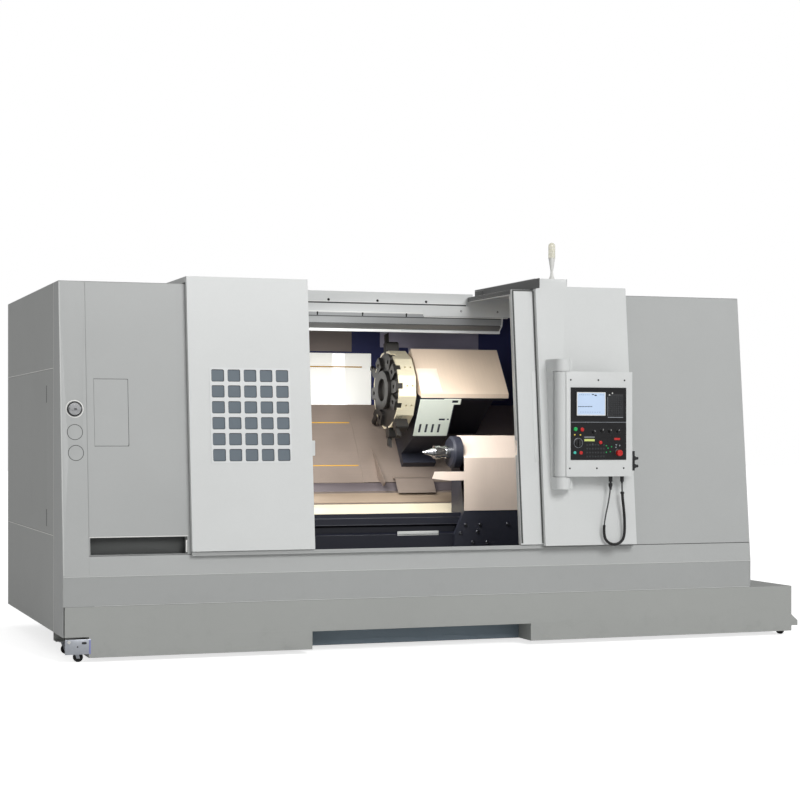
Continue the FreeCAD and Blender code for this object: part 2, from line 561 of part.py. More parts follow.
def hmi_housing():
    """Fixed hood in front of the right door: stepped top, open left side, C-shaped pivot bracket."""
    x0, x1 = HOUSING
    split = HOUSING_STEP_X
    parts = []
    for a, b, top in ((x0, split, HOUSING_TOP[0]), (split, x1, HOUSING_TOP[1])):
        parts.append(lean_plate(a, b, HOUSING_BOTTOM, top, HOUSING_PROUD, SHEET))
        parts.append(box(a, front(top, HOUSING_PROUD), top - SHEET, b, HOUSING_REAR, top))
        parts.append(box(a, HOUSING_REAR - SHEET, TOP + 2 * SHEET, b, HOUSING_REAR, top))
    step = box(split - SHEET, front(HOUSING_TOP[1], HOUSING_PROUD), HOUSING_TOP[1] - SHEET,
               split, HOUSING_REAR, HOUSING_TOP[0])
    notch, top, sill = HOUSING_NOTCH, HOUSING_TOP[0], RIGHT_DOOR_TOP + HOUSING_EASE
    cheek = section_x([(front(sill, HOUSING_PROUD), sill), (front(top, HOUSING_PROUD), top),
                       (HOUSING_REAR - notch, top), (HOUSING_REAR - notch, top - HOUSING_EASE),
                       (HOUSING_REAR, top - HOUSING_EASE), (HOUSING_REAR, sill)], x0, x0 + SHEET)
    left = lean_plate(x0, x0 + SHEET, HOUSING_BOTTOM, HOUSING_TOP[0], HOUSING_PROUD,
                      HOUSING_PROUD - DOOR_PROUD - 3)
    right = lean_plate(x1 - SHEET, x1, HOUSING_BOTTOM, HOUSING_TOP[1], HOUSING_PROUD, HOUSING_PROUD)
    rear = box(x1 - SHEET, front(TOP), TOP + SHEET + GAP, x1, HOUSING_REAR, HOUSING_TOP[1])
    foot = box(x0, front(HOUSING_BOTTOM, HOUSING_PROUD), HOUSING_BOTTOM, x1,
               front(HOUSING_BOTTOM, DOOR_PROUD) - 4, HOUSING_BOTTOM + SHEET)
    body = parts[0].fuse(parts[1:] + [step, cheek, left, right, rear, foot])
    cx, cy = HMI_AXIS
    low, high = HMI[4] - BRACKET_GAP - BRACKET_H, HMI[5] + BRACKET_GAP + BRACKET_H
    for z0 in (low, high - BRACKET_H):
        z1 = z0 + BRACKET_H
        body = body.fuse([to_hood(cy, z0, z1, cx - HMI_COLUMN_R, cx + BRACKET_REACH),
                          rod(cx, cy, z0, HMI_COLUMN_R, BRACKET_H, (0, 0, 1))])
    left, right, behind = BACKBONE
    body = body.fuse(to_hood(cy + behind, low, high, cx - left, cx - right))
    r, length = HMI_PIN
    for z0 in (HMI[5], HMI[4] - length - 2 * BRACKET_GAP):
        body = body.cut(rod(cx, cy, z0, r + FIT, length + 2 * BRACKET_GAP, (0, 0, 1)))
    return body.removeSplitter()


def signal_lamp_base():
    """Flared foot, neck and collar under the lens, in one turning."""
    x, y = LAMP_SITE
    z = HOUSING_TOP[0]
    profile = [(0, 0), (LAMP_R * 1.05, 0), (LAMP_R * 0.5, 34), (LAMP_R * 0.36, 60),
               (LAMP_R * 0.95, LAMP_BASE_H), (0, LAMP_BASE_H)]
    face = Part.Face(Part.makePolygon([Vector(x + r, y, z + h) for r, h in profile + profile[:1]]))
    return face.revolve(Vector(x, y, z), Vector(0, 0, 1), 360)


def signal_lamp_lens():
    """Clear lens with a domed top."""
    x, y = LAMP_SITE
    z = HOUSING_TOP[0] + LAMP_BASE_H
    dome = z + LAMP_LENS_H - LAMP_R
    lens = rod(x, y, z, LAMP_R, dome - z, (0, 0, 1))
    return lens.fuse(Part.makeSphere(LAMP_R, Vector(x, y, dome))).removeSplitter()


# ================================================================ doors
def window_cut(body, x_low, depth):
    """Cut the grid of window openings through a door's front sheet."""
    holes = []
    for col in range(PANES[0]):
        for row in range(PANES[1]):
            x = x_low + col * PANE_PITCH[0] + (PANE_PITCH[0] - PANE[0]) / 2
            z = PANE_LOW + row * PANE_PITCH[1] + (PANE_PITCH[1] - PANE[1]) / 2
            y = front(z, DOOR_PROUD)
            holes.append(box(x, y - 10, z, x + PANE[0], y + depth, z + PANE[1]))
    return body.cut(holes)


def door(x0, x1, top, hood_rear, pane_x):
    """Door pan with its window openings and the roof part that reaches back to the track."""
    proud = DOOR_PROUD
    sheet = lean_plate(x0, x1, DOOR_BOTTOM, top, proud, SHEET)
    sides = [lean_plate(x0, x0 + SHEET, DOOR_BOTTOM, top, proud, DOOR_T),
             lean_plate(x1 - SHEET, x1, DOOR_BOTTOM, top, proud, DOOR_T),
             lean_plate(x0, x1, DOOR_BOTTOM + DOOR_FOLD, DOOR_BOTTOM + DOOR_FOLD + SHEET, proud, DOOR_T)]
    hood = box(x0, front(top, proud), top - SHEET, x1, hood_rear, top)
    cheeks = [section_x([(front(top - HOOD_CHEEK, proud), top - HOOD_CHEEK), (front(top, proud), top),
                         (BEAM2[0] - 8, top), (BEAM2[0] - 8, top - HOOD_CHEEK)], a, a + SHEET)
              for a in (x0, x1 - SHEET)]
    return window_cut(sheet.fuse(sides + [hood] + cheeks), pane_x, 14)


def left_door():
    """Left door; its roof part rests on beam 1."""
    x0, x1 = LEFT_DOOR
    body = door(x0, x1, LEFT_DOOR_TOP, LEFT_HOOD_REAR, LEFT_PANE_X)
    w, d, h = LATCH
    y = front(LATCH_Z, DOOR_PROUD) + LATCH_SET
    latch = box(x1, y, LATCH_Z, x1 + w / 2, y + d, LATCH_Z + h)
    return body.fuse(latch.makeFillet(4, [e for e in latch.Edges if abs(e.tangentAt(0).y) > 0.9]))


def right_door():
    """Right door; its roof part hangs on beam 2 by a rear flange."""
    x0, x1 = RIGHT_DOOR
    body = door(x0, x1, RIGHT_DOOR_TOP, RIGHT_HOOD_REAR, RIGHT_PANE_X)
    flange = box(x0, BEAM2[0] + 8, BEAM1[2] + GAP, x1, BEAM2[0] + 8 + SHEET, RIGHT_DOOR_TOP)
    w, d, h = LATCH
    y = front(LATCH_Z, DOOR_PROUD) + LATCH_SET
    slot = box(x0 - 1, y - LATCH_EASE, LATCH_Z - LATCH_EASE, x0 + w, y + d + LATCH_EASE,
               LATCH_Z + h + LATCH_EASE)
    return body.fuse(flange).cut(slot).removeSplitter()


def door_glass(x_low):
    """Laminated pane behind a door's window openings."""
    x0 = x_low - GLASS_EDGE
    x1 = x_low + PANES[0] * PANE_PITCH[0] + GLASS_EDGE
    z0 = PANE_LOW - GLASS_EDGE
    z1 = PANE_LOW + PANES[1] * PANE_PITCH[1] + GLASS_EDGE
    return lean_plate(x0, x1, z0, z1, DOOR_PROUD - SHEET, GLASS_T)


# ================================================================ control panel
def hmi_box():
    """Panel box with its round pivot column, pivot pins and two cable glands."""
    x0, x1, y0, y1, z0, z1 = HMI
    cx, cy = HMI_AXIS
    body = box(x0, y0, z0, x1, y1, z1)
    body = body.makeFillet(8, [e for e in body.Edges
                               if abs(e.tangentAt(0).z) > 0.9 and e.BoundBox.XMax > x1 - 1])
    body = body.fuse(rod(cx, cy, z0, HMI_COLUMN_R, z1 - z0, (0, 0, 1)))
    fx0, fx1, fz0, fz1 = FACE
    body = body.cut(box(fx0, y0 - 1, fz0, fx1, y0 + FACE_T, fz1))
    for x, z, _, stem, _ in (ESTOP, START, HOLD, SELECTOR):
        body = body.cut(rod(x, y0, z, stem + 2, STEM_DEPTH + 12, (0, 1, 0)))
    r, length = HMI_PIN
    for z in (z1, z0 - length):
        body = body.fuse(rod(cx, cy, z, r, length, (0, 0, 1)))
    for x in CABLE_X:
        body = body.fuse(rod(x, CABLE_Y, CABLE_TOP, GLAND[0], z0 - CABLE_TOP, (0, 0, 1)))
    return body.removeSplitter()


def hmi_face():
    """Display unit over the operator panel, with the screen window and fixed knobs."""
    x0, x1, z0, z1 = FACE
    y0 = HMI[2] - FACE_T
    back = HMI[2] + FACE_T
    body = box(x0 + GAP, y0, z0 + GAP, x1 - GAP, back, z1 - GAP)
    body = body.cut(box(x0, y0 - 1, FACE_SPLIT - 5, x1, y0 + 2, FACE_SPLIT + 5))
    sx0, sx1, sz0, sz1 = SCREEN
    body = body.cut(box(sx0, y0 - 1, sz0, sx1, y0 + SCREEN_D, sz1))
    for x, z, _, stem, _ in (ESTOP, START, HOLD, SELECTOR):
        body = body.cut(rod(x, y0 - 1, z, stem + FIT, 20, (0, 1, 0)))
    for x, z in KNOBS:
        body = body.fuse(rod(x, y0 - KNOB[1], z, KNOB[0], KNOB[1], (0, 1, 0)))
    return body.removeSplitter()


def push_button(data, gap):
    """Button head on a stem that passes through the face plate."""
    x, z, head, stem, height = data
    y0 = HMI[2] - FACE_T
    cap = rod(x, y0 - height, z, head, height - gap, (0, 1, 0))
    rim = [e for e in cap.Edges if e.BoundBox.YMax < y0 - height + 0.1]
    cap = cap.makeFillet(min(4, height / 3), rim)
    return cap.fuse(rod(x, y0 - gap, z, stem, STEM_DEPTH, (0, 1, 0))).removeSplitter()


def mode_selector():
    """Rotary selector with a raised grip across its face."""
    x, z, head, stem, height = SELECTOR
    y0 = HMI[2] - FACE_T
    body = rod(x, y0 - height / 2, z, head, height / 2 - GAP, (0, 1, 0))
    body = body.fuse(box(x - 5, y0 - height, z - head, x + 5, y0 - height / 2, z + head))
    return body.fuse(rod(x, y0 - GAP, z, stem, STEM_DEPTH, (0, 1, 0))).removeSplitter()


def cable_route():
    """(x, z) points of the hanging loop: down from the panel, out, round the bottom and back up."""
    x, z, r = LOOP
    turn = math.pi / LOOP_TURNS
    reach = r / math.cos(turn / 2)
    angles = [math.pi + turn * (i + 0.5) for i in range(LOOP_TURNS)]
    bottom = [(x + reach * math.cos(a), z + reach * math.sin(a)) for a in angles]
    below_left, over_left, over_right, below_right = CABLE_LEADS
    down = [(CABLE_X[0], CABLE_TOP), (CABLE_X[0], CABLE_TOP - below_left), (x - r, z + over_left)]
    up = [(x + r, z + over_right), (CABLE_X[1], CABLE_TOP - below_right), (CABLE_X[1], CABLE_TOP)]
    return down + bottom + up


def hmi_cable():
    """Cable loop under the panel: straight runs joined by tangent arcs."""
    pts = [Vector(x, CABLE_Y, z) for x, z in cable_route()]
    edges, here = [], pts[0]
    for a, b, c in zip(pts, pts[1:], pts[2:]):
        u, v = (b - a), (c - b)
        run = min(u.Length, v.Length)
        half = u.getAngle(v) / 2
        u.normalize()
        v.normalize()
        reach = ARC_SHARE * run
        radius = reach / math.tan(half)
        p, q = b - u * reach, b + v * reach
        mid_dir = (v - u)
        mid_dir.normalize()
        mid = b + mid_dir * (radius / math.cos(half) - radius)
        edges += [Part.makeLine(here, p), Part.Arc(p, mid, q).toShape()]
        here = q
        print("cable radius", round(radius), "turn", round(math.degrees(2 * half)),
              "at", round(b.x, 1), round(b.z, 1))
    edges.append(Part.makeLine(here, pts[-1]))
    path = Part.Wire(edges)
    ring = Part.Wire(Part.makeCircle(CABLE_D / 2, pts[0], pts[1] - pts[0]))
    tube = path.makePipeShell([ring], True, True)
    length = path.Length
    print("cable length", round(length, 1), "volume ratio",
          round(tube.Volume / (math.pi * CABLE_D ** 2 / 4 * length), 4))
    return tube


# ================================================================ bed and headstock
def bed_casting():
    """Slant bed: grooved upright front, shelf with the tailstock's way, slanted face with box ways."""
    foot, head = on_slant(-BED_TOE, -BED_DROP), on_slant(BED_HEAD, -BED_DROP)
    body = section_x([(BED_FRONT, BED_FOOT), (BED_FRONT, BED_SHELF), (SHELF_REAR, BED_SHELF), foot, head,
                      (BED_REAR, head[1]), (BED_REAR, BED_FOOT)], BED_BODY_X, BED[1])
    body = body.fuse(box(BED[0], BED_FRONT, BED_FOOT, BED_BODY_X, BED_REAR, MOTOR_DECK))
    x0, x1 = BAY[0] + WAY_START, BED[1] - WAY_END
    for s0, s1 in WAYS:
        body = body.fuse(slant_block(s0, s1, -BED_DROP, -BED_DROP + WAY_H, x0, x1))
    y0, y1, h = TAIL_WAY
    body = body.fuse(box(x0, y0, BED_SHELF, x1, y1, BED_SHELF + h))
    z0, z1, depth, slope = BED_GROOVE
    groove = section_x([(BED_FRONT - 1, z0), (BED_FRONT + depth, z0 + slope), (BED_FRONT + depth, z1 - slope),
                        (BED_FRONT - 1, z1)], BAY[0], x1)
    return body.cut(groove).removeSplitter()


def levelling_feet():
    """Eight pads, each with its screw up into the bed."""
    r, h = FOOT_PAD
    feet = []
    for x in FOOT_X:
        for y in FOOT_Y:
            pad = Part.makeCone(r, r * 0.7, h, Vector(x, y, 0))
            feet.append(pad.fuse(rod(x, y, h, FOOT_SCREW_R, BED_FOOT - h, (0, 0, 1))).removeSplitter())
    return Part.makeCompound(feet)


def headstock_casting():
    """Headstock on the bed, bored for the spindle, with a turned front boss."""
    x0, x1 = HEADSTOCK
    at, foot = on_slant(HEADSTOCK_HEAD, -BED_DROP), on_slant(-BED_TOE, -BED_DROP)
    pts = [(BED_FRONT, BED_SHELF), *HEADSTOCK_FOLDS, (HEADSTOCK_REAR, at[1]), at, foot, (SHELF_REAR, BED_SHELF)]
    wide, length = HEADSTOCK_BOSS
    body = section_x(pts, x0, x1).fuse(rod(x1, AXIS_Y, AXIS_Z, SPINDLE_R + wide, length, (1, 0, 0)))
    return body.cut(rod(x0 - 1, AXIS_Y, AXIS_Z, SPINDLE_R + FIT, x1 + length - x0 + 2, (1, 0, 0)))


def spindle():
    """Hollow spindle with a belt pulley behind the headstock."""
    x0, x1 = SPINDLE
    body = rod(x0, AXIS_Y, AXIS_Z, SPINDLE_R, x1 - x0, (1, 0, 0))
    r, width, grooves, depth = PULLEY
    pulley = rod(x0, AXIS_Y, AXIS_Z, r, width, (1, 0, 0))
    pitch = width / (grooves + 1)
    for i in range(grooves):
        ring = rod(x0 + (i + 0.8) * pitch, AXIS_Y, AXIS_Z, r + 1, pitch * 0.4, (1, 0, 0))
        pulley = pulley.cut(ring.cut(rod(x0, AXIS_Y, AXIS_Z, r - depth, width, (1, 0, 0))))
    return body.fuse(pulley).cut(rod(x0 - 1, AXIS_Y, AXIS_Z, SPINDLE_BORE, x1 - x0 + 2, (1, 0, 0)))


def chuck_body():
    """Three-jaw chuck body with radial slots for the jaws."""
    x0, x1, r = CHUCK
    body = rod(x0, AXIS_Y, AXIS_Z, r, x1 - x0, (1, 0, 0))
    body = body.makeChamfer(CHUCK_EDGE, [e for e in body.Edges if e.BoundBox.XMin > x1 - 1])
    body = body.cut(rod(x0 - 1, AXIS_Y, AXIS_Z, SPINDLE_BORE, x1 - x0 + 2, (1, 0, 0)))
    for i in range(3):
        w = JAW[0] / 2 + GAP
        slot = box(x1 - JAW_SLOT_D - GAP, AXIS_Y - w, AXIS_Z, x1 + 1, AXIS_Y + w, AXIS_Z + r + 5)
        slot.rotate(Vector(0, AXIS_Y, AXIS_Z), Vector(1, 0, 0), 120 * i)
        body = body.cut(slot)
    return body.removeSplitter()


def chuck_jaw(i):
    """Stepped hard jaw number i, standing in its slot."""
    w, length, height = JAW
    x = CHUCK[1] - JAW_SLOT_D
    z = AXIS_Z + JAW_IN
    jaw = box(x, AXIS_Y - w / 2, z, CHUCK[1] + height, AXIS_Y + w / 2, z + length)
    drop, rise = JAW_STEP
    for k in range(2):
        jaw = jaw.cut(box(CHUCK[1] + height - drop * (k + 1), AXIS_Y - w, z + length - rise * (2 - k),
                          CHUCK[1] + height + 1, AXIS_Y + w, z + length + 1))
    jaw.rotate(Vector(0, AXIS_Y, AXIS_Z), Vector(1, 0, 0), 120 * i)
    return jaw


def spindle_motor():
    """Foot-mounted motor with cooling fins and its grooved pulley."""
    x0, x1, r = MOTOR
    z = MOTOR_DECK + r + MOTOR_RAISE
    fins, deep, thick, end = MOTOR_FINS
    body = rod(x0, MOTOR_Y, z, r - deep, x1 - x0, (1, 0, 0))
    for i in range(fins):
        fin = box(x0 + end, MOTOR_Y - thick / 2, z, x1 - end, MOTOR_Y + thick / 2, z + r)
        fin.rotate(Vector(0, MOTOR_Y, z), Vector(1, 0, 0), 360.0 * i / fins)
        body = body.fuse(fin)
    body = body.fuse(box(x0 + end, MOTOR_Y - r, MOTOR_DECK, x1 - end, MOTOR_Y + r, z - r / 2))
    return body.fuse(rod(x1, MOTOR_Y, z, *MOTOR_PULLEY, (1, 0, 0))).removeSplitter()


def z_ballscrew():
    """Long ballscrew along the slant between two bearing blocks, with its servo motor."""
    s, h, r = SCREW
    y, z = on_slant(s, h - BED_DROP)
    half, height, length = SCREW_BEARING
    start, end = BAY[0] + SCREW_SET, BED[1] - SCREW_SET
    body = rod(start, y, z, r, end - start, (1, 0, 0))
    for x in (start, end - length):
        body = body.fuse(slant_block(s - half, s + half, -BED_DROP, height - BED_DROP, x, x + length))
    half, low, high, length = SCREW_MOTOR
    motor = slant_block(s - half, s + half, low - BED_DROP, high - BED_DROP, end, end + length)
    return body.fuse(motor).removeSplitter()


# ================================================================ lining of the working space
def end_wall(x):
    """End wall of the working space, down to the way cover, the chip slope and the tail way."""
    back, top = BACK_Y - GAP, on_slant(COVER_LEN, 0)[1] + SHEET + GAP
    under = BEAM2[2] - GUARD_FOLDS[-1][1] - END_WALL_DROP
    pts = [(front(PANEL_BOTTOM) + END_WALL_SET, END_WALL_FOOT), (front(TOP) + END_WALL_SET, under),
           (BEAM1[1] + 40, under), (BEAM1[1] + 40, CEILING + SHEET), (back, CEILING + SHEET),
           (back, top), (on_slant(COVER_LEN, 0)[0], top), on_slant(COVER_LEN, 0), on_slant(0, -LEAF_T)]
    pts += [(y + SHEET / 2, z - SHEET / 2) for y, z in SLOPE_FOLDS[1:-1]]
    pts += [(SLOPE_FOLDS[-1][0], BED_SHELF), (SLOPE_FOLDS[-1][0] - SHEET, END_WALL_FOOT)]
    return section_x(pts, x, x + SHEET)


def interior_back_wall():
    """Shelf behind the way covers, back wall, ceiling and the right end wall in one lining."""
    shelf = on_slant(COVER_LEN, -LEAF_T)[0] + GAP
    level = on_slant(COVER_LEN, 0)[1]
    line = [(BEAM1[1], CEILING), (BACK_Y, CEILING), (BACK_Y, level), (shelf, level)]
    right = end_wall(BAY[1])
    link = box(BAY[1] - SHEET, BACK_Y - FLANGE, level + SHEET + GAP, BAY[1] + SHEET, BACK_Y, CEILING)
    return folded(line, SHEET, BAY[0], BAY[1]).fuse([right, link]).removeSplitter()


def interior_left_wall():
    """Wall between the headstock and the working space, with the spindle opening."""
    wall = end_wall(BAY[0] - SHEET)
    return wall.cut(rod(BAY[0] - 5, AXIS_Y, AXIS_Z, SPINDLE_R + 5, 10, (1, 0, 0)))


def leaf(x0, x1, level, s0=0.0, s1=COVER_LEN):
    """One telescopic cover leaf on the slant, with a folded edge at each end."""
    h = level * LEAF_STEP
    return slant_block(s0, s1, h - LEAF_T, h, x0, x1)


def chip_slope():
    """Stepped chute down to the bed's shelf, with the fixed cover leaves at both ends of the way."""
    body = folded(SLOPE_FOLDS, SHEET, BAY[0], BAY[1])
    for x0, x1, end in ((*FIXED_LEAF, FIXED_LEAF[0]), (*RIGHT_LEAF, RIGHT_LEAF[1] - STAY[1])):
        stays = [slant_block(s, s + STAY[0], -BED_DROP, -LEAF_T, end, end + STAY[1]) for s in STAY_S]
        body = body.fuse([leaf(x0, x1, 0)] + stays)
    return body.removeSplitter()


# ================================================================ carriage
def saddle():
    """Saddle casting on the box ways, relieved for the ways and the ballscrew."""
    x0, x1 = SADDLE
    body = slant_block(*SADDLE_RUN, -BED_DROP + WAY_H + GAP, 2 * LEAF_STEP - LEAF_T, x0, x1)
    for s0, s1 in WAYS:
        for a, b in ((s0 - WAY_LIP, s0 - GAP), (s1 + GAP, s1 + WAY_LIP)):
            body = body.fuse(slant_block(a, b, -BED_DROP + GAP, -BED_DROP + WAY_H + 1, x0, x1))
    s, h, r = SCREW
    y, z = on_slant(s, h - BED_DROP)
    return body.cut(rod(x0 - 1, y, z, r + 2 * GAP, x1 - x0 + 2, (1, 0, 0))).removeSplitter()


def saddle_cover():
    """Long cover leaf carried by the saddle, with the bent skirt at its foot."""
    body = leaf(SADDLE_LEAF[0], SADDLE_LEAF[1], 2)
    level = 2 * LEAF_STEP - GAP
    top, out, end = SKIRT
    skirt = slant_section([(top, level), (top, level + SHEET), (0, out), (-end, out), (-end, out - SHEET),
                           (0, out - SHEET), (top - 2 * SHEET, level)], *SKIRT_X)
    high, drop, (low, tall) = FIN
    fin = slant_section([(high, level), (top, level), (-drop, low), (-drop, tall)], FIN_X, FIN_X + FIN_T)
    return body.fuse([skirt, fin]).removeSplitter()


def turret_head():
    """Cross slide and turret head in one casting, with its nose over the working space."""
    base = 2 * LEAF_STEP + GAP
    low, nose = HEAD_LOW, HEAD_NOSE
    foot, rise, toe = HEAD_FOOT
    x0, xm, x1 = HEAD
    deep = slant_section([low, HEAD_UNDER, nose, (HEAD_BACK, nose[1]), (HEAD_BACK, base),
                          (foot, base), (foot, rise), (toe, rise)], x0, xm)
    far = slant_section([(HEAD_BACK, base), (HEAD_BACK, nose[1]), nose, (nose[0], HEAD_SHELF),
                         (HEAD_STEP, HEAD_SHELF), (HEAD_STEP, base)], xm, x1)
    y, z = on_slant(*TURRET_AT)
    neck = rod(DISC[1] + GAP, y, z, NECK_R, x0 - DISC[1] - GAP, (1, 0, 0))
    return deep.fuse([far, neck]).removeSplitter()


def turret_cover():
    """Stainless cover over the head's slanted face and round its nose, closed at both ends."""
    x0, x1 = HEAD[0] - COVER_AHEAD, HEAD[2] + GAP + SHEET
    (s0, h0), (s1, h1) = HEAD_NOSE, HEAD_UNDER
    line = [on_slant(s1 - GAP, h1 + GAP), on_slant(s0 - GAP / 2, h0 + GAP), on_slant(HEAD_BACK, h0 + GAP)]
    body = folded(line, SHEET, x0, x1)
    end = [(s1 + COVER_CLEAR, h1 + COVER_CLEAR), (s0, h0 + GAP), (HEAD_BACK, h0 + GAP),
           (HEAD_BACK, h0 - COVER_END), (s1 + COVER_END, h0 - COVER_END)]
    for x in (x0, x1 - SHEET):
        body = body.fuse(slant_section(end, x, x + SHEET))
    return body.removeSplitter()


def guard_point(t, out):
    """(s, h) of a point t along the head's undercut face and out from it."""
    a, b = HEAD_UNDER, HEAD_LOW
    run = math.hypot(b[0] - a[0], b[1] - a[1])
    d = ((b[0] - a[0]) / run, (b[1] - a[1]) / run)
    return (a[0] + d[0] * t + d[1] * out, a[1] + d[1] * t - d[0] * out)


def guard_block(t0, t1, o0, o1, x0, x1):
    """Block lying on the head's undercut face."""
    return slant_section([guard_point(t0, o0), guard_point(t1, o0), guard_point(t1, o1),
                          guard_point(t0, o1)], x0, x1)


def slotted_guard():
    """Vented cover plate under the nose with an ear, four tall slots and two short ones."""
    body = guard_block(*GUARD_PLATE[0], GAP, GUARD_T, *GUARD_PLATE[1])
    body = body.fuse(guard_block(*GUARD_EAR[0], GAP, GUARD_T, *GUARD_EAR[1]))
    t0, t1, first, width, pitch = GUARD_SLOT
    holes = [((t0, t1), (first + i * pitch, first + i * pitch + width)) for i in range(GUARD_SLOTS)]
    for (t0, t1), (x0, x1) in holes + list(GUARD_HOLES):
        body = body.cut(guard_block(t0, t1, -1, GUARD_T + 1, x0, x1))
    return body.removeSplitter()


def at_station(shape, i):
    """Shape modelled upright over the turret axis, turned to station number i."""
    y, z = on_slant(*TURRET_AT)
    shape.rotate(Vector(0, y, z), Vector(1, 0, 0), WORKING_STATION + 360.0 * i / STATIONS)
    return shape


def turret_disc():
    """Twelve-sided disc with a recessed boss, and a tool slot and two bolt holes at each station."""
    x0, x1, r = DISC
    y, z = on_slant(*TURRET_AT)
    boss_r, boss_h = DISC_BOSS
    half = r * math.tan(math.pi / STATIONS)
    wedge = section_x([(y, z), (y - half, z + r), (y + half, z + r)], x0, x1)
    sectors = [at_station(wedge.copy(), i) for i in range(STATIONS)]
    body = sectors[0].fuse(sectors[1:] + [rod(x0 - boss_h, y, z, boss_r, boss_h + 1, (1, 0, 0))])
    cuts = [rod(x0 - boss_h - 1, y, z, DISC_RECESS[0], DISC_RECESS[1] + 1, (1, 0, 0))]
    width, depth, low = TOOL_SLOT
    hole_r, hole_d = BOLT_HOLE
    for i in range(STATIONS):
        cuts.append(at_station(box(x0 - 1, y - width / 2, z + low, x0 + depth, y + width / 2, z + r + 1), i))
        cuts += [at_station(rod(x0 + dx, y, z + r - hole_d, hole_r, hole_d + 1, (0, 0, 1)), i) for dx in BOLT_X]
    return body.cut(cuts).removeSplitter()


def turning_tool(y, z):
    """Tool block on the rim with a tongue in the slot and a square tool through it."""
    x0, _, r = DISC
    width, length, height = TURNING_BLOCK
    slot_w, slot_d, low = TOOL_SLOT
    foot = z + r + GAP / 2
    block = box(x0, y - width / 2, foot, x0 + length, y + width / 2, foot + height)
    block = block.makeChamfer(8, [e for e in block.Edges if e.BoundBox.ZMin > foot + height - 1])
    tongue = box(x0, y - slot_w / 2 + GAP, z + low + GAP, x0 + slot_d - GAP, y + slot_w / 2 - GAP, foot + 1)
    x1 = x0 + TOOL_SHANK
    tool = box(x0, y - TOOL_SHANK / 2, foot, x1, y + TOOL_SHANK / 2, z + TOOL_REACH)
    tip = prism([(x0 - 1, y - TOOL_SHANK, z + TOOL_REACH + 1), (x0 - 1, y - TOOL_SHANK, z + TOOL_REACH - 14),
                 (x1, y - TOOL_SHANK, z + TOOL_REACH + 1)], (0, 2 * TOOL_SHANK, 0))
    return block.fuse([tongue, tool]).cut(tip).removeSplitter()


def boring_block(y, z):
    """Block on the disc's face with a tongue in the slot and a bore for a round bar."""
    x0 = DISC[0] - GAP / 2
    width, height, length, bore = BORING_BLOCK
    slot_w, slot_d, low = TOOL_SLOT
    block = box(x0 - height, y - width / 2, z + low, x0, y + width / 2, z + low + length)
    block = block.makeFillet(14, [e for e in block.Edges if e.BoundBox.XLength > height - 1])
    tongue = box(x0 - 1, y - slot_w / 2 + GAP, z + low + GAP, x0 + slot_d - GAP, y + slot_w / 2 - GAP,
                 z + low + length)
    return block.fuse(tongue).cut(
        rod(x0 - height - 1, y, z + low + length / 2, bore, height + slot_d + 2, (1, 0, 0))).removeSplitter()


def tool_holders():
    """One holder per station: turning tools that point outwards, and boring blocks on the face."""
    y, z = on_slant(*TURRET_AT)
    group = []
    for i in range(STATIONS):
        one = turning_tool(y, z) if i in TURNING_STATIONS else boring_block(y, z)
        group.append(at_station(one, i))
    return Part.makeCompound(group)


# ================================================================ tailstock
def tailstock_body():
    """Tailstock casting: upright front, slanted shoulder, flared foot over its way, bored nose."""
    x0, x1 = TAIL
    base_z = BED_SHELF + TAIL_WAY[2] + GAP
    pts = [(TAIL_FRONT, base_z), (TAIL_FRONT, TAIL_SHOULDER), TAIL_PEAK, *TAIL_BACK, (TAIL_REAR, base_z)]
    body = section_x(pts, x0, x1)
    x, low, high = TAIL_FOOT
    foot = prism([(x, TAIL_FRONT, low), (x, TAIL_FRONT, high), (x0, TAIL_FRONT, base_z + TAIL_OVER),
                  (x1, TAIL_FRONT, base_z + TAIL_OVER), (x1, TAIL_FRONT, low)],
                 (0, BED_FRONT - GAP - TAIL_FRONT, 0))
    y0, y1, _ = TAIL_WAY
    rails = [box(x0, TAIL_FRONT + 2, BED_SHELF + GAP, x1, y0 - GAP, base_z + TAIL_OVER),
             box(x0, y1 + GAP, BED_SHELF + GAP, x1, TAIL_REAR - 2, base_z + TAIL_OVER)]
    nose = rod(NOSE[0], AXIS_Y, AXIS_Z, NOSE[1], x0 - NOSE[0], (1, 0, 0))
    nose = nose.makeChamfer(NOSE[2], [e for e in nose.Edges if e.BoundBox.XMax < NOSE[0] + 1])
    body = body.fuse([foot, nose] + rails)
    return body.cut(rod(NOSE[0] - 1, AXIS_Y, AXIS_Z, QUILL[2] + FIT, QUILL[1] - NOSE[0] + 2,
                        (1, 0, 0))).removeSplitter()


def tailstock_cover():
    """Stainless cover over the tailstock's front and shoulder, with an apron below the quill."""
    x0, x1 = TAIL
    y = TAIL_FRONT - GAP
    line = [(y, COVER_FOOT), (y, TAIL_SHOULDER), (TAIL_PEAK[0] - GAP, TAIL_PEAK[1] + GAP)]
    cover = folded(line, SHEET, x0, x1)
    corners = [*APRON, (x0 + APRON_OVER, APRON[2][1]), (x0 + APRON_OVER, APRON[0][1])]
    apron = prism([(x, y - SHEET, z) for x, z in corners], (0, SHEET - GAP / 2, 0))
    return cover.fuse(apron).removeSplitter()


def quill():
    """Quill with a socket for the centre's shank."""
    x0, x1, r = QUILL
    body = rod(x0, AXIS_Y, AXIS_Z, r, x1 - x0, (1, 0, 0))
    return body.cut(rod(x0 - 1, AXIS_Y, AXIS_Z, SHANK[0] + FIT, SHANK[1] + 2, (1, 0, 0)))


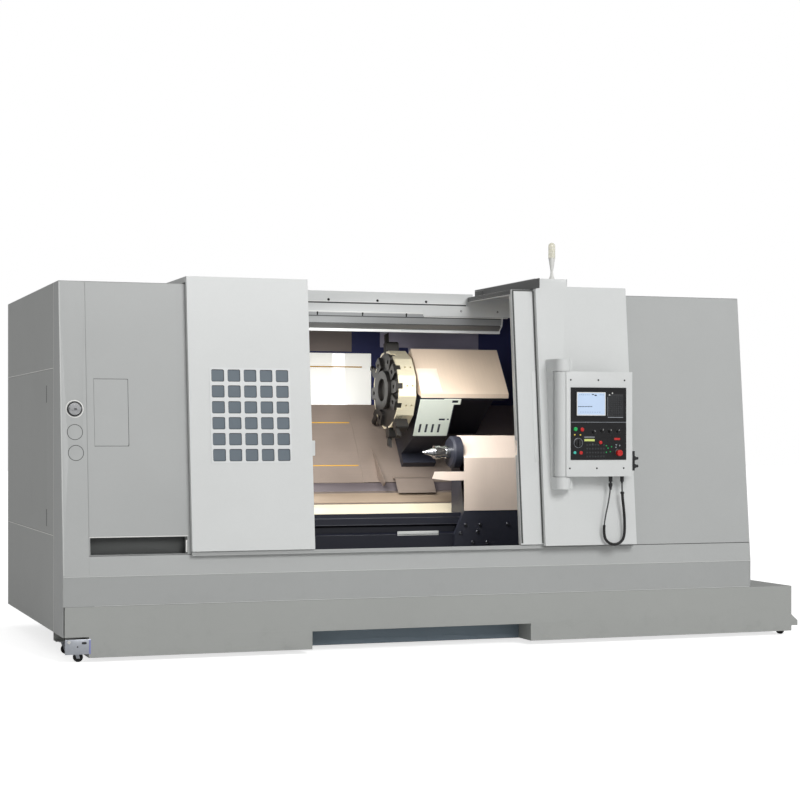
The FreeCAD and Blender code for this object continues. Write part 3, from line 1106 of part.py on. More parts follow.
def live_centre():
    """Live centre: hardened cone, ringed body and shank, in one turning."""
    x, r = CENTRE_TIP, CENTRE_R
    end = QUILL[0] - GAP
    pts = [(x, 0), (x + 4, 3), (x + 74, 30), (x + 88, 30), (x + 88, r + 2), (x + 128, r + 2),
           (x + 132, r - 4), (end - 6, r - 4), (end, r - 2), (end, SHANK[0]), (end + SHANK[1], SHANK[0]),
           (end + SHANK[1], 0)]
    face = Part.Face(Part.makePolygon([Vector(a, AXIS_Y, AXIS_Z + b) for a, b in pts + pts[:1]]))
    return face.revolve(Vector(x, AXIS_Y, AXIS_Z), Vector(1, 0, 0), 360)


# ================================================================ coolant tank and casters
def coolant_tank():
    """Welded tank along the foot of the machine: open mouth under the bed, toe recess, end ears."""
    x0, x1, y0, y1 = TANK
    top = TANK_TOP - GAP
    w = TANK_WALL
    body = box(TANK_BODY_X, y0, TANK_BOTTOM, x1, y1, top)
    body = body.fuse(box(x0, y0, SIDE_BOTTOM, TANK_BODY_X + 1, y1, top))
    body = body.cut(box(TANK_BODY_X + w, y0 + w, TANK_BOTTOM + w, x1 - w, y1 - w, top - w))
    body = body.cut(box(x0 + w, y0 + w, SIDE_BOTTOM + w, TANK_BODY_X + w + 1, y1 - w, top - w))
    tx0, tx1, depth, tz = TOE
    body = body.fuse(box(tx0 - w, y0, TANK_BOTTOM, tx1 + w, y0 + depth + w, tz + w))
    body = body.cut(box(tx0, y0 - 1, TANK_BOTTOM - 1, tx1, y0 + depth, tz))
    plate, under = FORK_TOP + 2 * w, FORK_TOP + w
    for name, (cx, cy) in CASTER_SITES.items():
        if name.endswith("right"):
            r = CASTER_WELL
            body = body.fuse(box(cx - r - w, max(cy - r - w, y0), TANK_BOTTOM, x1, cy + r + w, plate))
            body = body.cut(box(cx - r, cy - r, TANK_BOTTOM - 1, x1 - w - 1, cy + r, under))
        else:
            r, end = CASTER_PLATE, TANK_BODY_X + 1
            body = body.fuse([box(cx - r, cy - r, under, end, cy + r, plate),
                              box(cx - r, cy + r, under, end, cy + r + w, SIDE_BOTTOM + 1)])
        body = body.cut(rod(cx, cy, FORK_TOP - 1, STEM_R + FIT, 3 * w, (0, 0, 1)))
    mx0, mx1, my0, my1 = TANK_MOUTH
    body = body.cut(box(mx0, my0, top - w - 1, mx1, my1, top + 1))
    reach, z0, tip, root = EAR
    ear = prism([(x1 - 1, y0, z0), (x1 + reach, y0, z0), (x1 + reach, y0, tip), (x1 - 1, y0, root)], (0, w, 0))
    return body.fuse(ear).removeSplitter()


def caster_fork(cx, cy):
    """Swivel fork: stem, top plate and two cheeks bored for the axle."""
    w = WHEEL_W / 2 + GAP
    top = rod(cx, cy, FORK_TOP - FORK_T, FORK_R, FORK_T, (0, 0, 1))
    stem = rod(cx, cy, FORK_TOP - 1, STEM_R, 2 * TANK_WALL, (0, 0, 1))
    washer = rod(cx, cy, FORK_TOP, 2 * STEM_R, TANK_WALL - GAP, (0, 0, 1))
    front_edge, rear_edge, foot, low = FORK_CHEEK
    cheeks = [prism([(cx - front_edge, y, FORK_TOP - 1), (cx + rear_edge, y, FORK_TOP - 1),
                     (cx + TRAIL + foot, y, WHEEL_R - low), (cx + TRAIL - foot, y, WHEEL_R - low)],
                    (0, FORK_T, 0)) for y in (cy - w - FORK_T, cy + w)]
    axle = rod(cx + TRAIL, cy - w - FORK_T, WHEEL_R, AXLE_R, 2 * (w + FORK_T), (0, 1, 0))
    return top.fuse([stem, washer, axle] + cheeks).removeSplitter()


def caster_wheel(cx, cy):
    """Wheel with a hub bored for the axle."""
    y = cy - WHEEL_W / 2
    body = rod(cx + TRAIL, y, WHEEL_R, WHEEL_R, WHEEL_W, (0, 1, 0))
    rims = [e for e in body.Edges if e.BoundBox.ZLength > WHEEL_R and e.BoundBox.YLength < 1]
    body = body.makeFillet(WHEEL_EDGE, rims)
    return body.cut(rod(cx + TRAIL, y - 1, WHEEL_R, AXLE_R + FIT, WHEEL_W + 2, (0, 1, 0)))


# ================================================================ write every piece
def main():
    """Build and save each node."""
    for make in (front_left_column, lock_handle, front_left_panel, access_hatch, left_side_panel,
                 side_door, front_apron, front_sill, right_cabinet, roof_panel, rear_enclosure,
                 door_track, hmi_housing, signal_lamp_base, signal_lamp_lens, left_door, right_door,
                 hmi_box, hmi_face, mode_selector, hmi_cable, bed_casting, levelling_feet,
                 headstock_casting, spindle, chuck_body, spindle_motor, z_ballscrew,
                 interior_back_wall, interior_left_wall, chip_slope, saddle,
                 saddle_cover, turret_head, turret_cover, slotted_guard, turret_disc, tool_holders,
                 tailstock_body, tailstock_cover, quill, live_centre, coolant_tank):
        save(make.__name__, make())
    save("left_door_glass", door_glass(LEFT_PANE_X))
    save("right_door_glass", door_glass(RIGHT_PANE_X))
    save("middle_way_cover", leaf(MID_LEAF[0], MID_LEAF[1], 1))
    save("emergency_stop", push_button(ESTOP, BUTTON_TRAVEL + 0.5))
    save("cycle_start", push_button(START, BUTTON_TRAVEL + 0.5))
    save("feed_hold", push_button(HOLD, BUTTON_TRAVEL + 0.5))
    for i in range(3):
        save("chuck_jaw_%d" % (i + 1), chuck_jaw(i))
    for name, site in CASTER_SITES.items():
        save("caster_fork_" + name, caster_fork(*site))
        save("caster_wheel_" + name, caster_wheel(*site))


main()
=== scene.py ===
"""Looks of a slant-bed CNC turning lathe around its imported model.

Everything in Blender is in metres of the model's frame.  Places on the machine are written in the shop
frame, in millimetres: X from the cabinet's left end, Y from the front plane, Z from the floor.
"""
import json
import logging
import math
from dataclasses import dataclass
from enum import Enum
from typing import Sequence

import bmesh
import bpy
import numpy as np
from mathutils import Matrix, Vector

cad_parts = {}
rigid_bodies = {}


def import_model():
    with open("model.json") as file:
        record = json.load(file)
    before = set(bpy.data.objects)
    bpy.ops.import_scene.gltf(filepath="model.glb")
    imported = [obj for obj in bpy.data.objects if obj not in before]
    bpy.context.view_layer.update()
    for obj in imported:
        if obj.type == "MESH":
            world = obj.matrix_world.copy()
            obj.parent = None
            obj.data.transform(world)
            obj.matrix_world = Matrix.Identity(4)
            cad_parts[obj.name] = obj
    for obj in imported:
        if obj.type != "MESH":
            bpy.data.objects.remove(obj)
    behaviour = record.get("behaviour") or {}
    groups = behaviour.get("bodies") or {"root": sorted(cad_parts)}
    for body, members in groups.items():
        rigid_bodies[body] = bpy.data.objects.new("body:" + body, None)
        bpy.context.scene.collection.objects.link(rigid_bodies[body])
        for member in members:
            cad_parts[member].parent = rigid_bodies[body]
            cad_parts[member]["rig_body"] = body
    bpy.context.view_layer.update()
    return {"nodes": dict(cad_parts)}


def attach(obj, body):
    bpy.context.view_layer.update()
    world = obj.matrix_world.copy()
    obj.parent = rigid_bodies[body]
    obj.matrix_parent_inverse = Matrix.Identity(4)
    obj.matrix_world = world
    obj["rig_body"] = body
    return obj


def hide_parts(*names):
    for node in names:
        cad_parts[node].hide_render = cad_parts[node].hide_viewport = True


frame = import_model()

log = logging.getLogger("lathe")
Array = np.ndarray
Point = tuple[float, float, float]
Place = tuple[float, float]                   # two coordinates on one face, mm
Plate = tuple[Point, float, float]            # centre, width, height, mm
Piece = bpy.types.Object
Tree, Node, Socket = bpy.types.NodeTree, bpy.types.Node, bpy.types.NodeSocket

MM = 1000.0                                   # millimetres in a metre
SHIFT = np.array((-2534.5, -1127.0, 0.0))     # shop frame to model frame, mm
LEAN = 0.10                                   # how far the front leans back per unit of height
UPRIGHT = 0.995                               # height of a unit length laid along the lean
BREAK = 520.0                                 # height where the lean starts, mm
SLANT = math.radians(55.0)
SLANT_FOOT = (1285.0, 1043.0)                 # y, z where the way cover starts, mm
SHARP = math.radians(35)                      # edges over this angle are shaded sharp
ROLLED = math.radians(40)                     # edges over this angle are rolled
FLAT = math.radians(1)                        # faces that differ by less are one face
WELD, CAD_WELD = 1e-6, 2e-5                   # points nearer than this are one, metres
SLIVER, CAD_SLIVER = 1e-7, 1e-6               # shorter edges are dissolved, metres


# ------------------------------------------------------------------ places
def mm(x: float, y: float, z: float) -> Array:
    """Point of the shop frame in mm, as metres of the model's frame."""
    return (np.array((x, y, z), float) + SHIFT) / MM


def front(z: float, proud: float = 0.0) -> float:
    """Y of the leaning front at height z, in mm, proud of it by the given amount."""
    return LEAN * max(z - BREAK, 0.0) - proud


def on_front(x: float, z: float, proud: float = 0.0) -> Point:
    """Point of the leaning front in mm, proud of it by the given amount."""
    return x, front(z, proud), z


def on_slant(s: float, h: float) -> Place:
    """(y, z) in mm of a point s up the slant and h out from the way cover."""
    sin, cos = math.sin(SLANT), math.cos(SLANT)
    return SLANT_FOOT[0] + s * cos - h * sin, SLANT_FOOT[1] + s * sin + h * cos


class Facing(Enum):
    """Right, up and outward directions of a surface that a fitting sits on."""

    FRONT = ((1, 0, 0), (0, 0, 1), (0, -1, 0))
    LEANING = ((1, 0, 0), (0, 0.0995, 0.995), (0, -0.995, 0.0995))
    LEFT = ((0, -1, 0), (0, 0, 1), (-1, 0, 0))
    RIGHT = ((0, 1, 0), (0, 0, 1), (1, 0, 0))
    UP = ((1, 0, 0), (0, 1, 0), (0, 0, 1))
    COVER = ((1, 0, 0), (0, 0.5736, 0.8192), (0, -0.8192, 0.5736))
    GUARD_UPPER = ((1, 0, 0), (0, -14, 74), (0, -74, -14))
    GUARD_LOWER = ((1, 0, 0), (0, -46, 34), (0, -34, -46))

    def axes(self) -> Array:
        """Rows right, up, out as unit vectors."""
        rows = np.array(self.value, float)
        return rows / np.linalg.norm(rows, axis=1, keepdims=True)


# ------------------------------------------------------------------ surfaces
def outline(width: float, height: float, corner: float, steps: int = 6) -> Array:
    """Rounded rectangle: four quarter circles, each about its own corner centre, taken in turn.

    Args:
        width, height: outside sizes.
        corner: radius of the quarter circles.
        steps: points on each quarter circle.

    Returns:
        Points (4 * steps, 2), anticlockwise from the upper right corner.
    """
    corner = max(min(corner, width / 2, height / 2), 1e-6)
    turn = np.linspace(0, math.pi / 2, steps)[None, :] + np.arange(4)[:, None] * math.pi / 2
    signs = np.array(((1, 1), (-1, 1), (-1, -1), (1, -1)))[:, None, :]
    centres = signs * np.array((width / 2 - corner, height / 2 - corner))
    return (centres + corner * np.stack((np.cos(turn), np.sin(turn)), -1)).reshape(-1, 2)


def level(width: float, height: float, corner: float, lift: float, steps: int) -> Array:
    """Rounded rectangle at one height: points (4 * steps, 3)."""
    return np.column_stack((outline(width, height, corner, steps), np.full(4 * steps, lift)))


def slab(width: float, height: float, depth: float, corner: float, edge: float,
         steps: int = 6, bend: int = 3) -> Array:
    """Plate on a rounded rectangle with a rolled front edge.

    v runs from the back's centre out to the outline, straight up the side, through a quarter circle of
    radius edge, and in to the front's centre; u runs round the outline.  The outline shrinks by
    edge * (1 - cos t) while the height climbs by edge * sin t.

    Args:
        width, height, depth: outside sizes, in the units wanted back.
        corner: radius of the outline's corners.
        edge: radius of the rolled edge.
        steps: points on each corner.
        bend: points on the rolled edge.

    Returns:
        Grid (rows, columns, 3) with axes right, up, out.
    """
    edge = min(edge, depth, width / 2, height / 2)
    turn = np.linspace(0, math.pi / 2, bend + 1)
    inset = np.concatenate(((0.0,), edge * (1 - np.cos(turn))))
    lift = np.concatenate(((0.0,), depth - edge + edge * np.sin(turn)))
    rows = [level(width - 2 * i, height - 2 * i, corner - i, d, steps) for i, d in zip(inset, lift)]
    pole = np.zeros((4 * steps, 3))
    return np.stack([pole] + rows + [pole + (0, 0, depth)])


def frame_ring(width: float, height: float, bar: float, depth: float, corner: float,
               inner: float | None = None, steps: int = 5) -> Array:
    """Rectangular ring: a rounded rectangle carried through a four-cornered section and closed on itself.

    Args:
        width, height: outside sizes.
        bar: width of the ring's bar.
        depth: how far it stands out.
        corner: outer corner radius.
        inner: corner radius of the opening; parallel to the outer corners when left out.
        steps: points on each corner.

    Returns:
        Grid (4 rows, columns, 3); wrap both ways.
    """
    inner = corner - bar if inner is None else inner
    stations = ((0.0, 0.0, corner), (0.0, depth, corner), (bar, depth, inner), (bar, 0.0, inner))
    return np.stack([level(width - 2 * i, height - 2 * i, c, d, steps) for i, d, c in stations])


def turned(profile: Sequence[tuple[float, float]], segments: int = 24) -> Array:
    """Surface of revolution: (r, h) goes to (r cos u, r sin u, h) for u round the full circle.

    Args:
        profile: (radius, height) pairs from the bottom pole to the top pole.
        segments: columns round the axis.

    Returns:
        Grid (rows, segments, 3) with axes right, up, out.
    """
    r, h = np.array(profile, float).T
    u = np.linspace(0, 2 * math.pi, segments, endpoint=False)
    return np.stack((r[:, None] * np.cos(u), r[:, None] * np.sin(u), np.repeat(h[:, None], segments, 1)), -1)


def screw_head(radius: float, height: float) -> Array:
    """Button head: a quarter-ellipse profile turned round, with a hexagon-sized socket sunk in its top."""
    t = np.linspace(0, math.pi / 2, 5)[:-1]
    rim = [(radius * math.cos(a), height * math.sin(a)) for a in t]
    socket = [(radius * 0.45, height), (radius * 0.42, height * 0.45), (0.0, height * 0.4)]
    return turned([(0.0, 0.0)] + rim + socket, 14)


def swept(path: Array, radius: float, sides: int = 12, across: Point = (0, 1, 0)) -> Array:
    """Round tube: path(v) + r (across cos u + (tangent x across) sin u), closed by a pole at each end.

    Args:
        path: points (n, 3).
        radius: the tube's radius.
        sides: columns round the tube.
        across: a direction square to the whole path.

    Returns:
        Grid (n + 2, sides, 3).
    """
    tangent = np.gradient(path, axis=0)
    tangent /= np.linalg.norm(tangent, axis=1, keepdims=True)
    side = np.array(across, float)
    other = np.cross(tangent, side)
    other /= np.linalg.norm(other, axis=1, keepdims=True)
    u = np.linspace(0, 2 * math.pi, sides, endpoint=False)
    ring = side * np.cos(u)[:, None] + other[:, None, :] * np.sin(u)[:, None]
    body = path[:, None, :] + radius * ring
    return np.concatenate((np.repeat(path[:1, None], sides, 1), body, np.repeat(path[-1:, None], sides, 1)))


def placed(grid: Array, sites: Sequence[Point] | Array, facing: Facing) -> Array:
    """Copies of a grid of mm at each site of the shop frame, turned to face outwards, in metres.

    Args:
        grid: (rows, columns, 3) with axes right, up, out.
        sites: points (n, 3) in mm.
        facing: the surface that the copies sit on.

    Returns:
        Grids (n, rows, columns, 3).
    """
    return (np.array(sites, float)[:, None, None, :] + SHIFT + (grid @ facing.axes())[None]) / MM


def solid(name: str, grids: Array, wrap_rows: bool = False) -> Piece:
    """One mesh object from grids that wrap round in u, poles merged, faces turned outwards.

    Args:
        name: object name.
        grids: (n, rows, columns, 3) in metres.
        wrap_rows: join the last row to the first as well.

    Returns:
        The new object, at the origin.
    """
    count, rows, cols = grids.shape[:3]
    r, c = np.meshgrid(np.arange(rows if wrap_rows else rows - 1), np.arange(cols), indexing="ij")
    down, side = (r + 1) % rows, (c + 1) % cols
    quad = np.stack((r * cols + c, r * cols + side, down * cols + side, down * cols + c), -1).reshape(-1, 4)
    quads = (quad[None] + (np.arange(count) * rows * cols)[:, None, None]).reshape(-1, 4)
    mesh = bpy.data.meshes.new(name)
    mesh.from_pydata(grids.reshape(-1, 3), [], quads.tolist())
    work = bmesh.new()
    work.from_mesh(mesh)
    bmesh.ops.remove_doubles(work, verts=work.verts, dist=WELD)
    bmesh.ops.dissolve_degenerate(work, edges=work.edges, dist=SLIVER)
    bmesh.ops.recalc_face_normals(work, faces=work.faces)
    return linked(name, mesh, work)


def linked(name: str, mesh: bpy.types.Mesh, work: bmesh.types.BMesh) -> Piece:
    """Writes the worked mesh back, shades it and links it as an object at the origin."""
    work.to_mesh(mesh)
    work.free()
    mesh.shade_smooth()
    mesh.set_sharp_from_angle(angle=SHARP)
    piece = bpy.data.objects.new(name, mesh)
    bpy.context.scene.collection.objects.link(piece)
    return piece


def softened(node: str, width: float, segments: int = 2) -> Piece:
    """Copy of a CAD node with its sharp edges rolled, standing for that node.

    Args:
        node: name of the CAD node.
        width: bevel width in mm.
        segments: bevel segments.

    Returns:
        The new piece, riding with the node's body.
    """
    source = frame["nodes"][node]
    mesh = source.data.copy()
    mesh.name = node + "_soft"
    work = bmesh.new()
    work.from_mesh(mesh)
    bmesh.ops.remove_doubles(work, verts=work.verts, dist=CAD_WELD)
    bmesh.ops.dissolve_degenerate(work, edges=work.edges, dist=CAD_SLIVER)
    bmesh.ops.dissolve_limit(work, angle_limit=FLAT, verts=work.verts, edges=work.edges)
    piece = linked(node + "_soft", mesh, work)
    bevel = piece.modifiers.new("rolled edges", "BEVEL")
    bevel.width = width / MM
    bevel.segments = segments
    bevel.limit_method = "ANGLE"
    bevel.angle_limit = ROLLED
    bevel.harden_normals = True
    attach(piece, source["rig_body"])
    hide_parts(node)
    return piece


# ------------------------------------------------------------------ shader groups
def node(tree: Tree, kind: str, inputs: dict | None = None, **settings: str) -> Node:
    """Adds a shader node.

    Args:
        tree: where it goes.
        kind: node type without the ShaderNode prefix.
        inputs: values or sockets by input name or index.
        settings: attributes of the node itself.

    Returns:
        The node.
    """
    made = tree.nodes.new("ShaderNode" + kind)
    for key, value in settings.items():
        setattr(made, key, value)
    for key, value in (inputs or {}).items():
        if isinstance(value, Socket):
            tree.links.new(value, made.inputs[key])
        else:
            made.inputs[key].default_value = value
    return made


def arithmetic(tree: Tree, operation: str, *values: Socket | float) -> Socket:
    """Math node on up to three values or sockets; returns its output."""
    return node(tree, "Math", dict(enumerate(values)), operation=operation).outputs[0]


class Group:
    """A shader node group under construction, with its place and colour inputs and more by name."""

    def __init__(self, name: str, colour: tuple[float, float, float, float]) -> None:
        """Opens a group of that name, with its usual colour."""
        self.tree = bpy.data.node_groups.new(name, "ShaderNodeTree")
        self.source = self.tree.nodes.new("NodeGroupInput")
        self.sink = self.tree.nodes.new("NodeGroupOutput")
        self.place = self.takes("Place", "Vector")
        self.colour = self.takes("Colour", "Color", colour)

    def takes(self, name: str, kind: str, value: float | Sequence[float] | None = None) -> Socket:
        """Adds an input and returns its socket inside the group."""
        item = self.tree.interface.new_socket(name, in_out="INPUT", socket_type="NodeSocket" + kind)
        if value is not None:
            item.default_value = value
        return self.source.outputs[name]

    def gives(self, name: str, kind: str, socket: Socket) -> None:
        """Adds an output fed by a socket."""
        self.tree.interface.new_socket(name, in_out="OUTPUT", socket_type="NodeSocket" + kind)
        self.tree.links.new(socket, self.sink.inputs[name])

    def noise(self, scale: Socket | float, detail: float, rough: float = 0.5,
              place: Socket | None = None) -> Socket:
        """Noise of a scale, detail and roughness, at the group's place unless another is given."""
        return node(self.tree, "TexNoise", {"Vector": self.place if place is None else place, "Scale": scale,
                                            "Detail": detail, "Roughness": rough}).outputs[0]

    def sums(self, operation: str, *values: Socket | float) -> Socket:
        """Math node inside the group."""
        return arithmetic(self.tree, operation, *values)

    def centred(self, socket: Socket) -> Socket:
        """A noise value moved to swing about nought."""
        return self.sums("SUBTRACT", socket, 0.5)

    def closes(self, swing: Socket, amount: Socket, height: Socket, mask: Socket) -> Tree:
        """Gives the colour with its tone swung by an amount, the height and the mask; returns the group."""
        gain = self.sums("MULTIPLY_ADD", swing, amount, 1.0)
        toned = node(self.tree, "HueSaturation", {"Value": gain, "Color": self.colour}).outputs[0]
        self.gives("Colour", "Color", toned)
        self.gives("Height", "Float", height)
        self.gives("Mask", "Float", mask)
        return self.tree


def coating_group() -> Tree:
    """Sprayed coating: fine orange peel for the height, slow drift and dust for the tone."""
    g = Group("sprayed coating", (0.5, 0.5, 0.5, 1))
    drift, peel = g.takes("Drift", "Float", 0.05), g.takes("Peel scale", "Float", 420.0)
    slow, fine, speck = g.noise(1.7, 3.0, 0.6), g.noise(peel, 2.0), g.noise(46.0, 4.0, 0.7)
    swing = g.sums("MULTIPLY_ADD", g.centred(slow), 2.0, g.centred(speck))
    return g.closes(swing, drift, fine, speck)


def grain_group() -> Tree:
    """Brushed grain: noise stretched along one axis by the Stretch vector."""
    g = Group("brushed grain", (0.6, 0.6, 0.6, 1))
    stretch, amount = g.takes("Stretch", "Vector", (3.0, 260.0, 260.0)), g.takes("Amount", "Float", 0.12)
    along = node(g.tree, "VectorMath", {0: g.place, 1: stretch}, operation="MULTIPLY").outputs[0]
    lines, cloud = g.noise(1.0, 3.0, 0.7, along), g.noise(5.0, 2.0)
    return g.closes(g.sums("ADD", g.centred(lines), g.centred(cloud)), amount, lines, cloud)


def cast_group() -> Tree:
    """Cast skin under paint: two sizes of bumps and darker hollows between them."""
    g = Group("cast skin", (0.2, 0.2, 0.2, 1))
    depth = g.takes("Depth", "Float", 0.25)
    coarse = g.noise(60.0, 5.0, 0.65)
    cells = node(g.tree, "TexVoronoi", {"Vector": g.place, "Scale": 230.0}).outputs[0]
    return g.closes(g.centred(coarse), depth, g.sums("MULTIPLY_ADD", cells, 0.35, coarse), coarse)


def wear_group() -> Tree:
    """Use marks: a broken noise mask, stronger below a height, that changes tone and gloss."""
    g = Group("use marks", (0.5, 0.5, 0.5, 1))
    mark = g.takes("Mark colour", "Color", (0.2, 0.19, 0.17, 1))
    amount, top = g.takes("Amount", "Float", 0.2), g.takes("Top", "Float", 0.5)
    height = node(g.tree, "SeparateXYZ", {0: g.place}).outputs[2]
    low = node(g.tree, "MapRange", {"Value": height, 1: top, 2: 0.0, 3: 0.15, 4: 1.0}).outputs[0]
    mask = node(g.tree, "MapRange", {"Value": g.noise(9.0, 8.0, 0.75), 1: 0.52, 2: 0.78}).outputs[0]
    share = g.sums("MULTIPLY", g.sums("MULTIPLY", mask, low), amount)
    g.gives("Colour", "Color", node(g.tree, "Mix", {0: share, 6: g.colour, 7: mark}, data_type="RGBA",
                                    blend_type="MIX").outputs[2])
    g.gives("Mask", "Float", share)
    return g.tree


# ------------------------------------------------------------------ finishes
class Surface(Enum):
    """The kinds of surface that a finish can have."""

    COATING = "coating"
    GRAIN = "grain"
    CAST = "cast"


GLOSS_SWING, MARK_GLOSS = 0.18, 0.3           # how far the surface and the use marks change the roughness
MARK_SHARE = 0.45                             # tone of the use marks as a share of the finish's
COAT_ROUGHNESS, GLASS_IOR = 0.12, 1.46
GROUPS = {Surface.COATING: coating_group(), Surface.GRAIN: grain_group(), Surface.CAST: cast_group()}
WEAR = wear_group()


def paint(code: str, share: float = 1.0) -> tuple[float, float, float, float]:
    """Linear colour of a six-digit display colour, darkened to a share of itself."""
    parts = [int(code[i:i + 2], 16) / 255.0 for i in (0, 2, 4)]
    return (*[share * (c / 12.92 if c <= 0.04045 else ((c + 0.055) / 1.055) ** 2.4) for c in parts], 1.0)


@dataclass(frozen=True)
class Finish:
    """One finish: display colour, gloss and the surface group that breaks it up."""

    name: str
    colour: str
    roughness: float
    surface: Surface = Surface.COATING
    metallic: float = 0.0
    coat: float = 0.0
    bump: float = 0.1
    bump_mm: float = 0.2
    wear: float = 0.12
    wear_top: float = 0.6
    variation: float = 0.04
    scale: float = 420.0
    stretch: Point = (3.0, 260.0, 260.0)
    transmission: float = 0.0
    alpha: float = 1.0
    glow: float = 0.0

    def layer(self, tree: Tree, group: Tree, inputs: dict) -> Node:
        """Places a shader group in the material's tree with its values."""
        made = tree.nodes.new("ShaderNodeGroup")
        made.node_tree = group
        for name, value in inputs.items():
            made.inputs[name].default_value = value
        return made

    def material(self) -> bpy.types.Material:
        """The material of this finish, built on first use and shared afterwards."""
        known = bpy.data.materials.get(self.name)
        if known:
            return known
        made = bpy.data.materials.new(self.name)
        made.use_nodes = True
        tree = made.node_tree
        shader = tree.nodes["Principled BSDF"]
        place = node(tree, "TexCoord").outputs["Object"]
        own = {Surface.COATING: {"Drift": self.variation, "Peel scale": self.scale},
               Surface.GRAIN: {"Stretch": self.stretch, "Amount": self.variation},
               Surface.CAST: {"Depth": self.variation}}[self.surface]
        skin = self.layer(tree, GROUPS[self.surface], {"Colour": paint(self.colour), **own})
        marks = self.layer(tree, WEAR, {"Mark colour": paint(self.colour, MARK_SHARE), "Amount": self.wear,
                                        "Top": self.wear_top})
        tree.links.new(place, skin.inputs["Place"])
        tree.links.new(place, marks.inputs["Place"])
        tree.links.new(skin.outputs["Colour"], marks.inputs["Colour"])
        tree.links.new(marks.outputs["Colour"], shader.inputs["Base Color"])
        gloss = arithmetic(tree, "MULTIPLY_ADD", arithmetic(tree, "SUBTRACT", skin.outputs["Mask"], 0.5), GLOSS_SWING,
                           self.roughness)
        tree.links.new(arithmetic(tree, "MULTIPLY_ADD", marks.outputs["Mask"], MARK_GLOSS, gloss),
                       shader.inputs["Roughness"])
        values = {"Metallic": self.metallic, "Coat Weight": self.coat, "Coat Roughness": COAT_ROUGHNESS,
                  "Alpha": self.alpha}
        if self.transmission:
            values |= {"Transmission Weight": self.transmission, "IOR": GLASS_IOR}
        if self.glow:
            tree.links.new(skin.outputs["Colour"], shader.inputs["Emission Color"])
            values["Emission Strength"] = self.glow
        for name, value in values.items():
            shader.inputs[name].default_value = value
        if self.bump:
            relief = node(tree, "Bump", {"Strength": self.bump, "Distance": self.bump_mm / MM,
                                         "Height": skin.outputs["Height"]})
            tree.links.new(relief.outputs[0], shader.inputs["Normal"])
        return made


@dataclass(frozen=True)
class Clean(Finish):
    """A coating or plastic without use marks."""

    wear: float = 0.0


@dataclass(frozen=True)
class Glossy(Clean):
    """A clean finish that is even all over, such as glass or a screen."""

    bump: float = 0.0


@dataclass(frozen=True)
class Brushed(Clean):
    """Clean metal with its grain drawn up and down."""

    surface: Surface = Surface.GRAIN
    bump: float = 0.06
    bump_mm: float = 0.1
    stretch: Point = (260.0, 3.0, 3.0)


@dataclass(frozen=True)
class Sheet(Finish):
    """Worn sheet metal with its grain along the machine."""

    surface: Surface = Surface.GRAIN
    bump: float = 0.06
    bump_mm: float = 0.1
    wear: float = 0.2
    wear_top: float = 1.6
    variation: float = 0.15


@dataclass(frozen=True)
class Cast(Finish):
    """Painted casting with its bumps showing through."""

    surface: Surface = Surface.CAST
    bump: float = 0.35
    bump_mm: float = 0.8
    wear: float = 0.3
    wear_top: float = 1.2
    variation: float = 0.3


CABINET = Finish("cabinet coating", "b4b6b5", 0.48, coat=0.05)
# Left side and side door: the cabinet's grey darkened as painted shade, for faces turned from the light.
SHADED_SIDE = Finish("side coating darkened as painted shade", "aeb0ae", 0.5, coat=0.05)
DOOR = Finish("door coating", "d9dbda", 0.42, coat=0.08)
# Front apron: the cabinet's grey darkened as painted shade, for the upright band below the leaning front.
SHADED_BAND = Finish("band coating darkened as painted shade", "a9abaa", 0.5, coat=0.05, wear=0.2)
SILL = Finish("sill coating", "b5b7b6", 0.48, coat=0.05, wear=0.15, wear_top=0.65)
TANK = Finish("tank coating", "a7a9a6", 0.52, coat=0.04, wear=0.3, wear_top=0.25)
LINING = Finish("lining coating", "30345c", 0.38, coat=0.1, wear_top=1.2, variation=0.12)
CASTING = Cast("casting paint", "2b2d38", 0.5)
BEDDING = Cast("bed casting paint", "101322", 0.55, wear=0.05, wear_top=0.9)
COVER = Sheet("way cover steel", "928479", 0.42, metallic=0.4, bump=0.08, wear=0.35, variation=0.18,
              stretch=(2, 180, 180))
STAINLESS = Brushed("brushed stainless", "e0ccb6", 0.38, metallic=0.3, variation=0.14)
STEEL = Brushed("ground steel", "b9babb", 0.22, metallic=1, bump=0.08, bump_mm=0.05, variation=0.2,
                stretch=(300, 8, 8))
DARK_STEEL = Brushed("oiled steel", "5b5c60", 0.32, metallic=0.9, bump=0.1, variation=0.3, stretch=(200, 20, 20))
ZINC = Cast("zinc plating", "b9bdc4", 0.36, metallic=0.8, bump=0.12, bump_mm=0.2, wear=0.15, wear_top=0.2,
            variation=0.25)
CHROME = Brushed("polished chrome", "dcdddf", 0.1, metallic=1, bump=0, bump_mm=0.2, stretch=(3, 260, 260))
BLACK = Clean("black satin plate", "1d1e20", 0.42, bump=0.25, scale=900)
BLACK_SCREW = Clean("black screw", "141416", 0.35, metallic=0.4)
PANEL_BLACK = Clean("gloss black panel", "0b0b0e", 0.3, bump=0.05)
DARK_KEY = Clean("dark key caps", "2b2d30", 0.5, scale=800)
TEAL = Clean("teal plastic", "3fb7a6", 0.28, coat=0.3, bump=0.04, glow=0.2)
AMBER = Clean("amber plastic", "e0c64c", 0.28, coat=0.3, bump=0.04, glow=0.25)
READOUT = Glossy("green readout", "b9c46e", 0.2, glow=0.35)
GREY_CABLE = Clean("grey cable jacket", "4c4d4e", 0.5, bump=0.15, scale=700)
RUBBER = Clean("cable rubber", "101011", 0.55, bump=0.2, scale=700)
TYRE = Finish("wheel rubber", "1b1b1d", 0.65, bump=0.3, wear=0.5, wear_top=0.08, scale=500)
MOTOR = Finish("motor enamel", "2a323c", 0.4, coat=0.2, wear=0.2)
RED = Clean("red plastic", "c8201c", 0.28, coat=0.3, bump=0.04)
GREEN = Clean("green plastic", "17a050", 0.28, coat=0.3, bump=0.04, glow=0.25)
WHITE = Clean("white plastic", "e4e4e0", 0.35, bump=0.08)
KEY = Clean("grey key caps", "8e9399", 0.5, scale=800)
KEY_BED = Clean("keypad bed", "1b1c1f", 0.5)
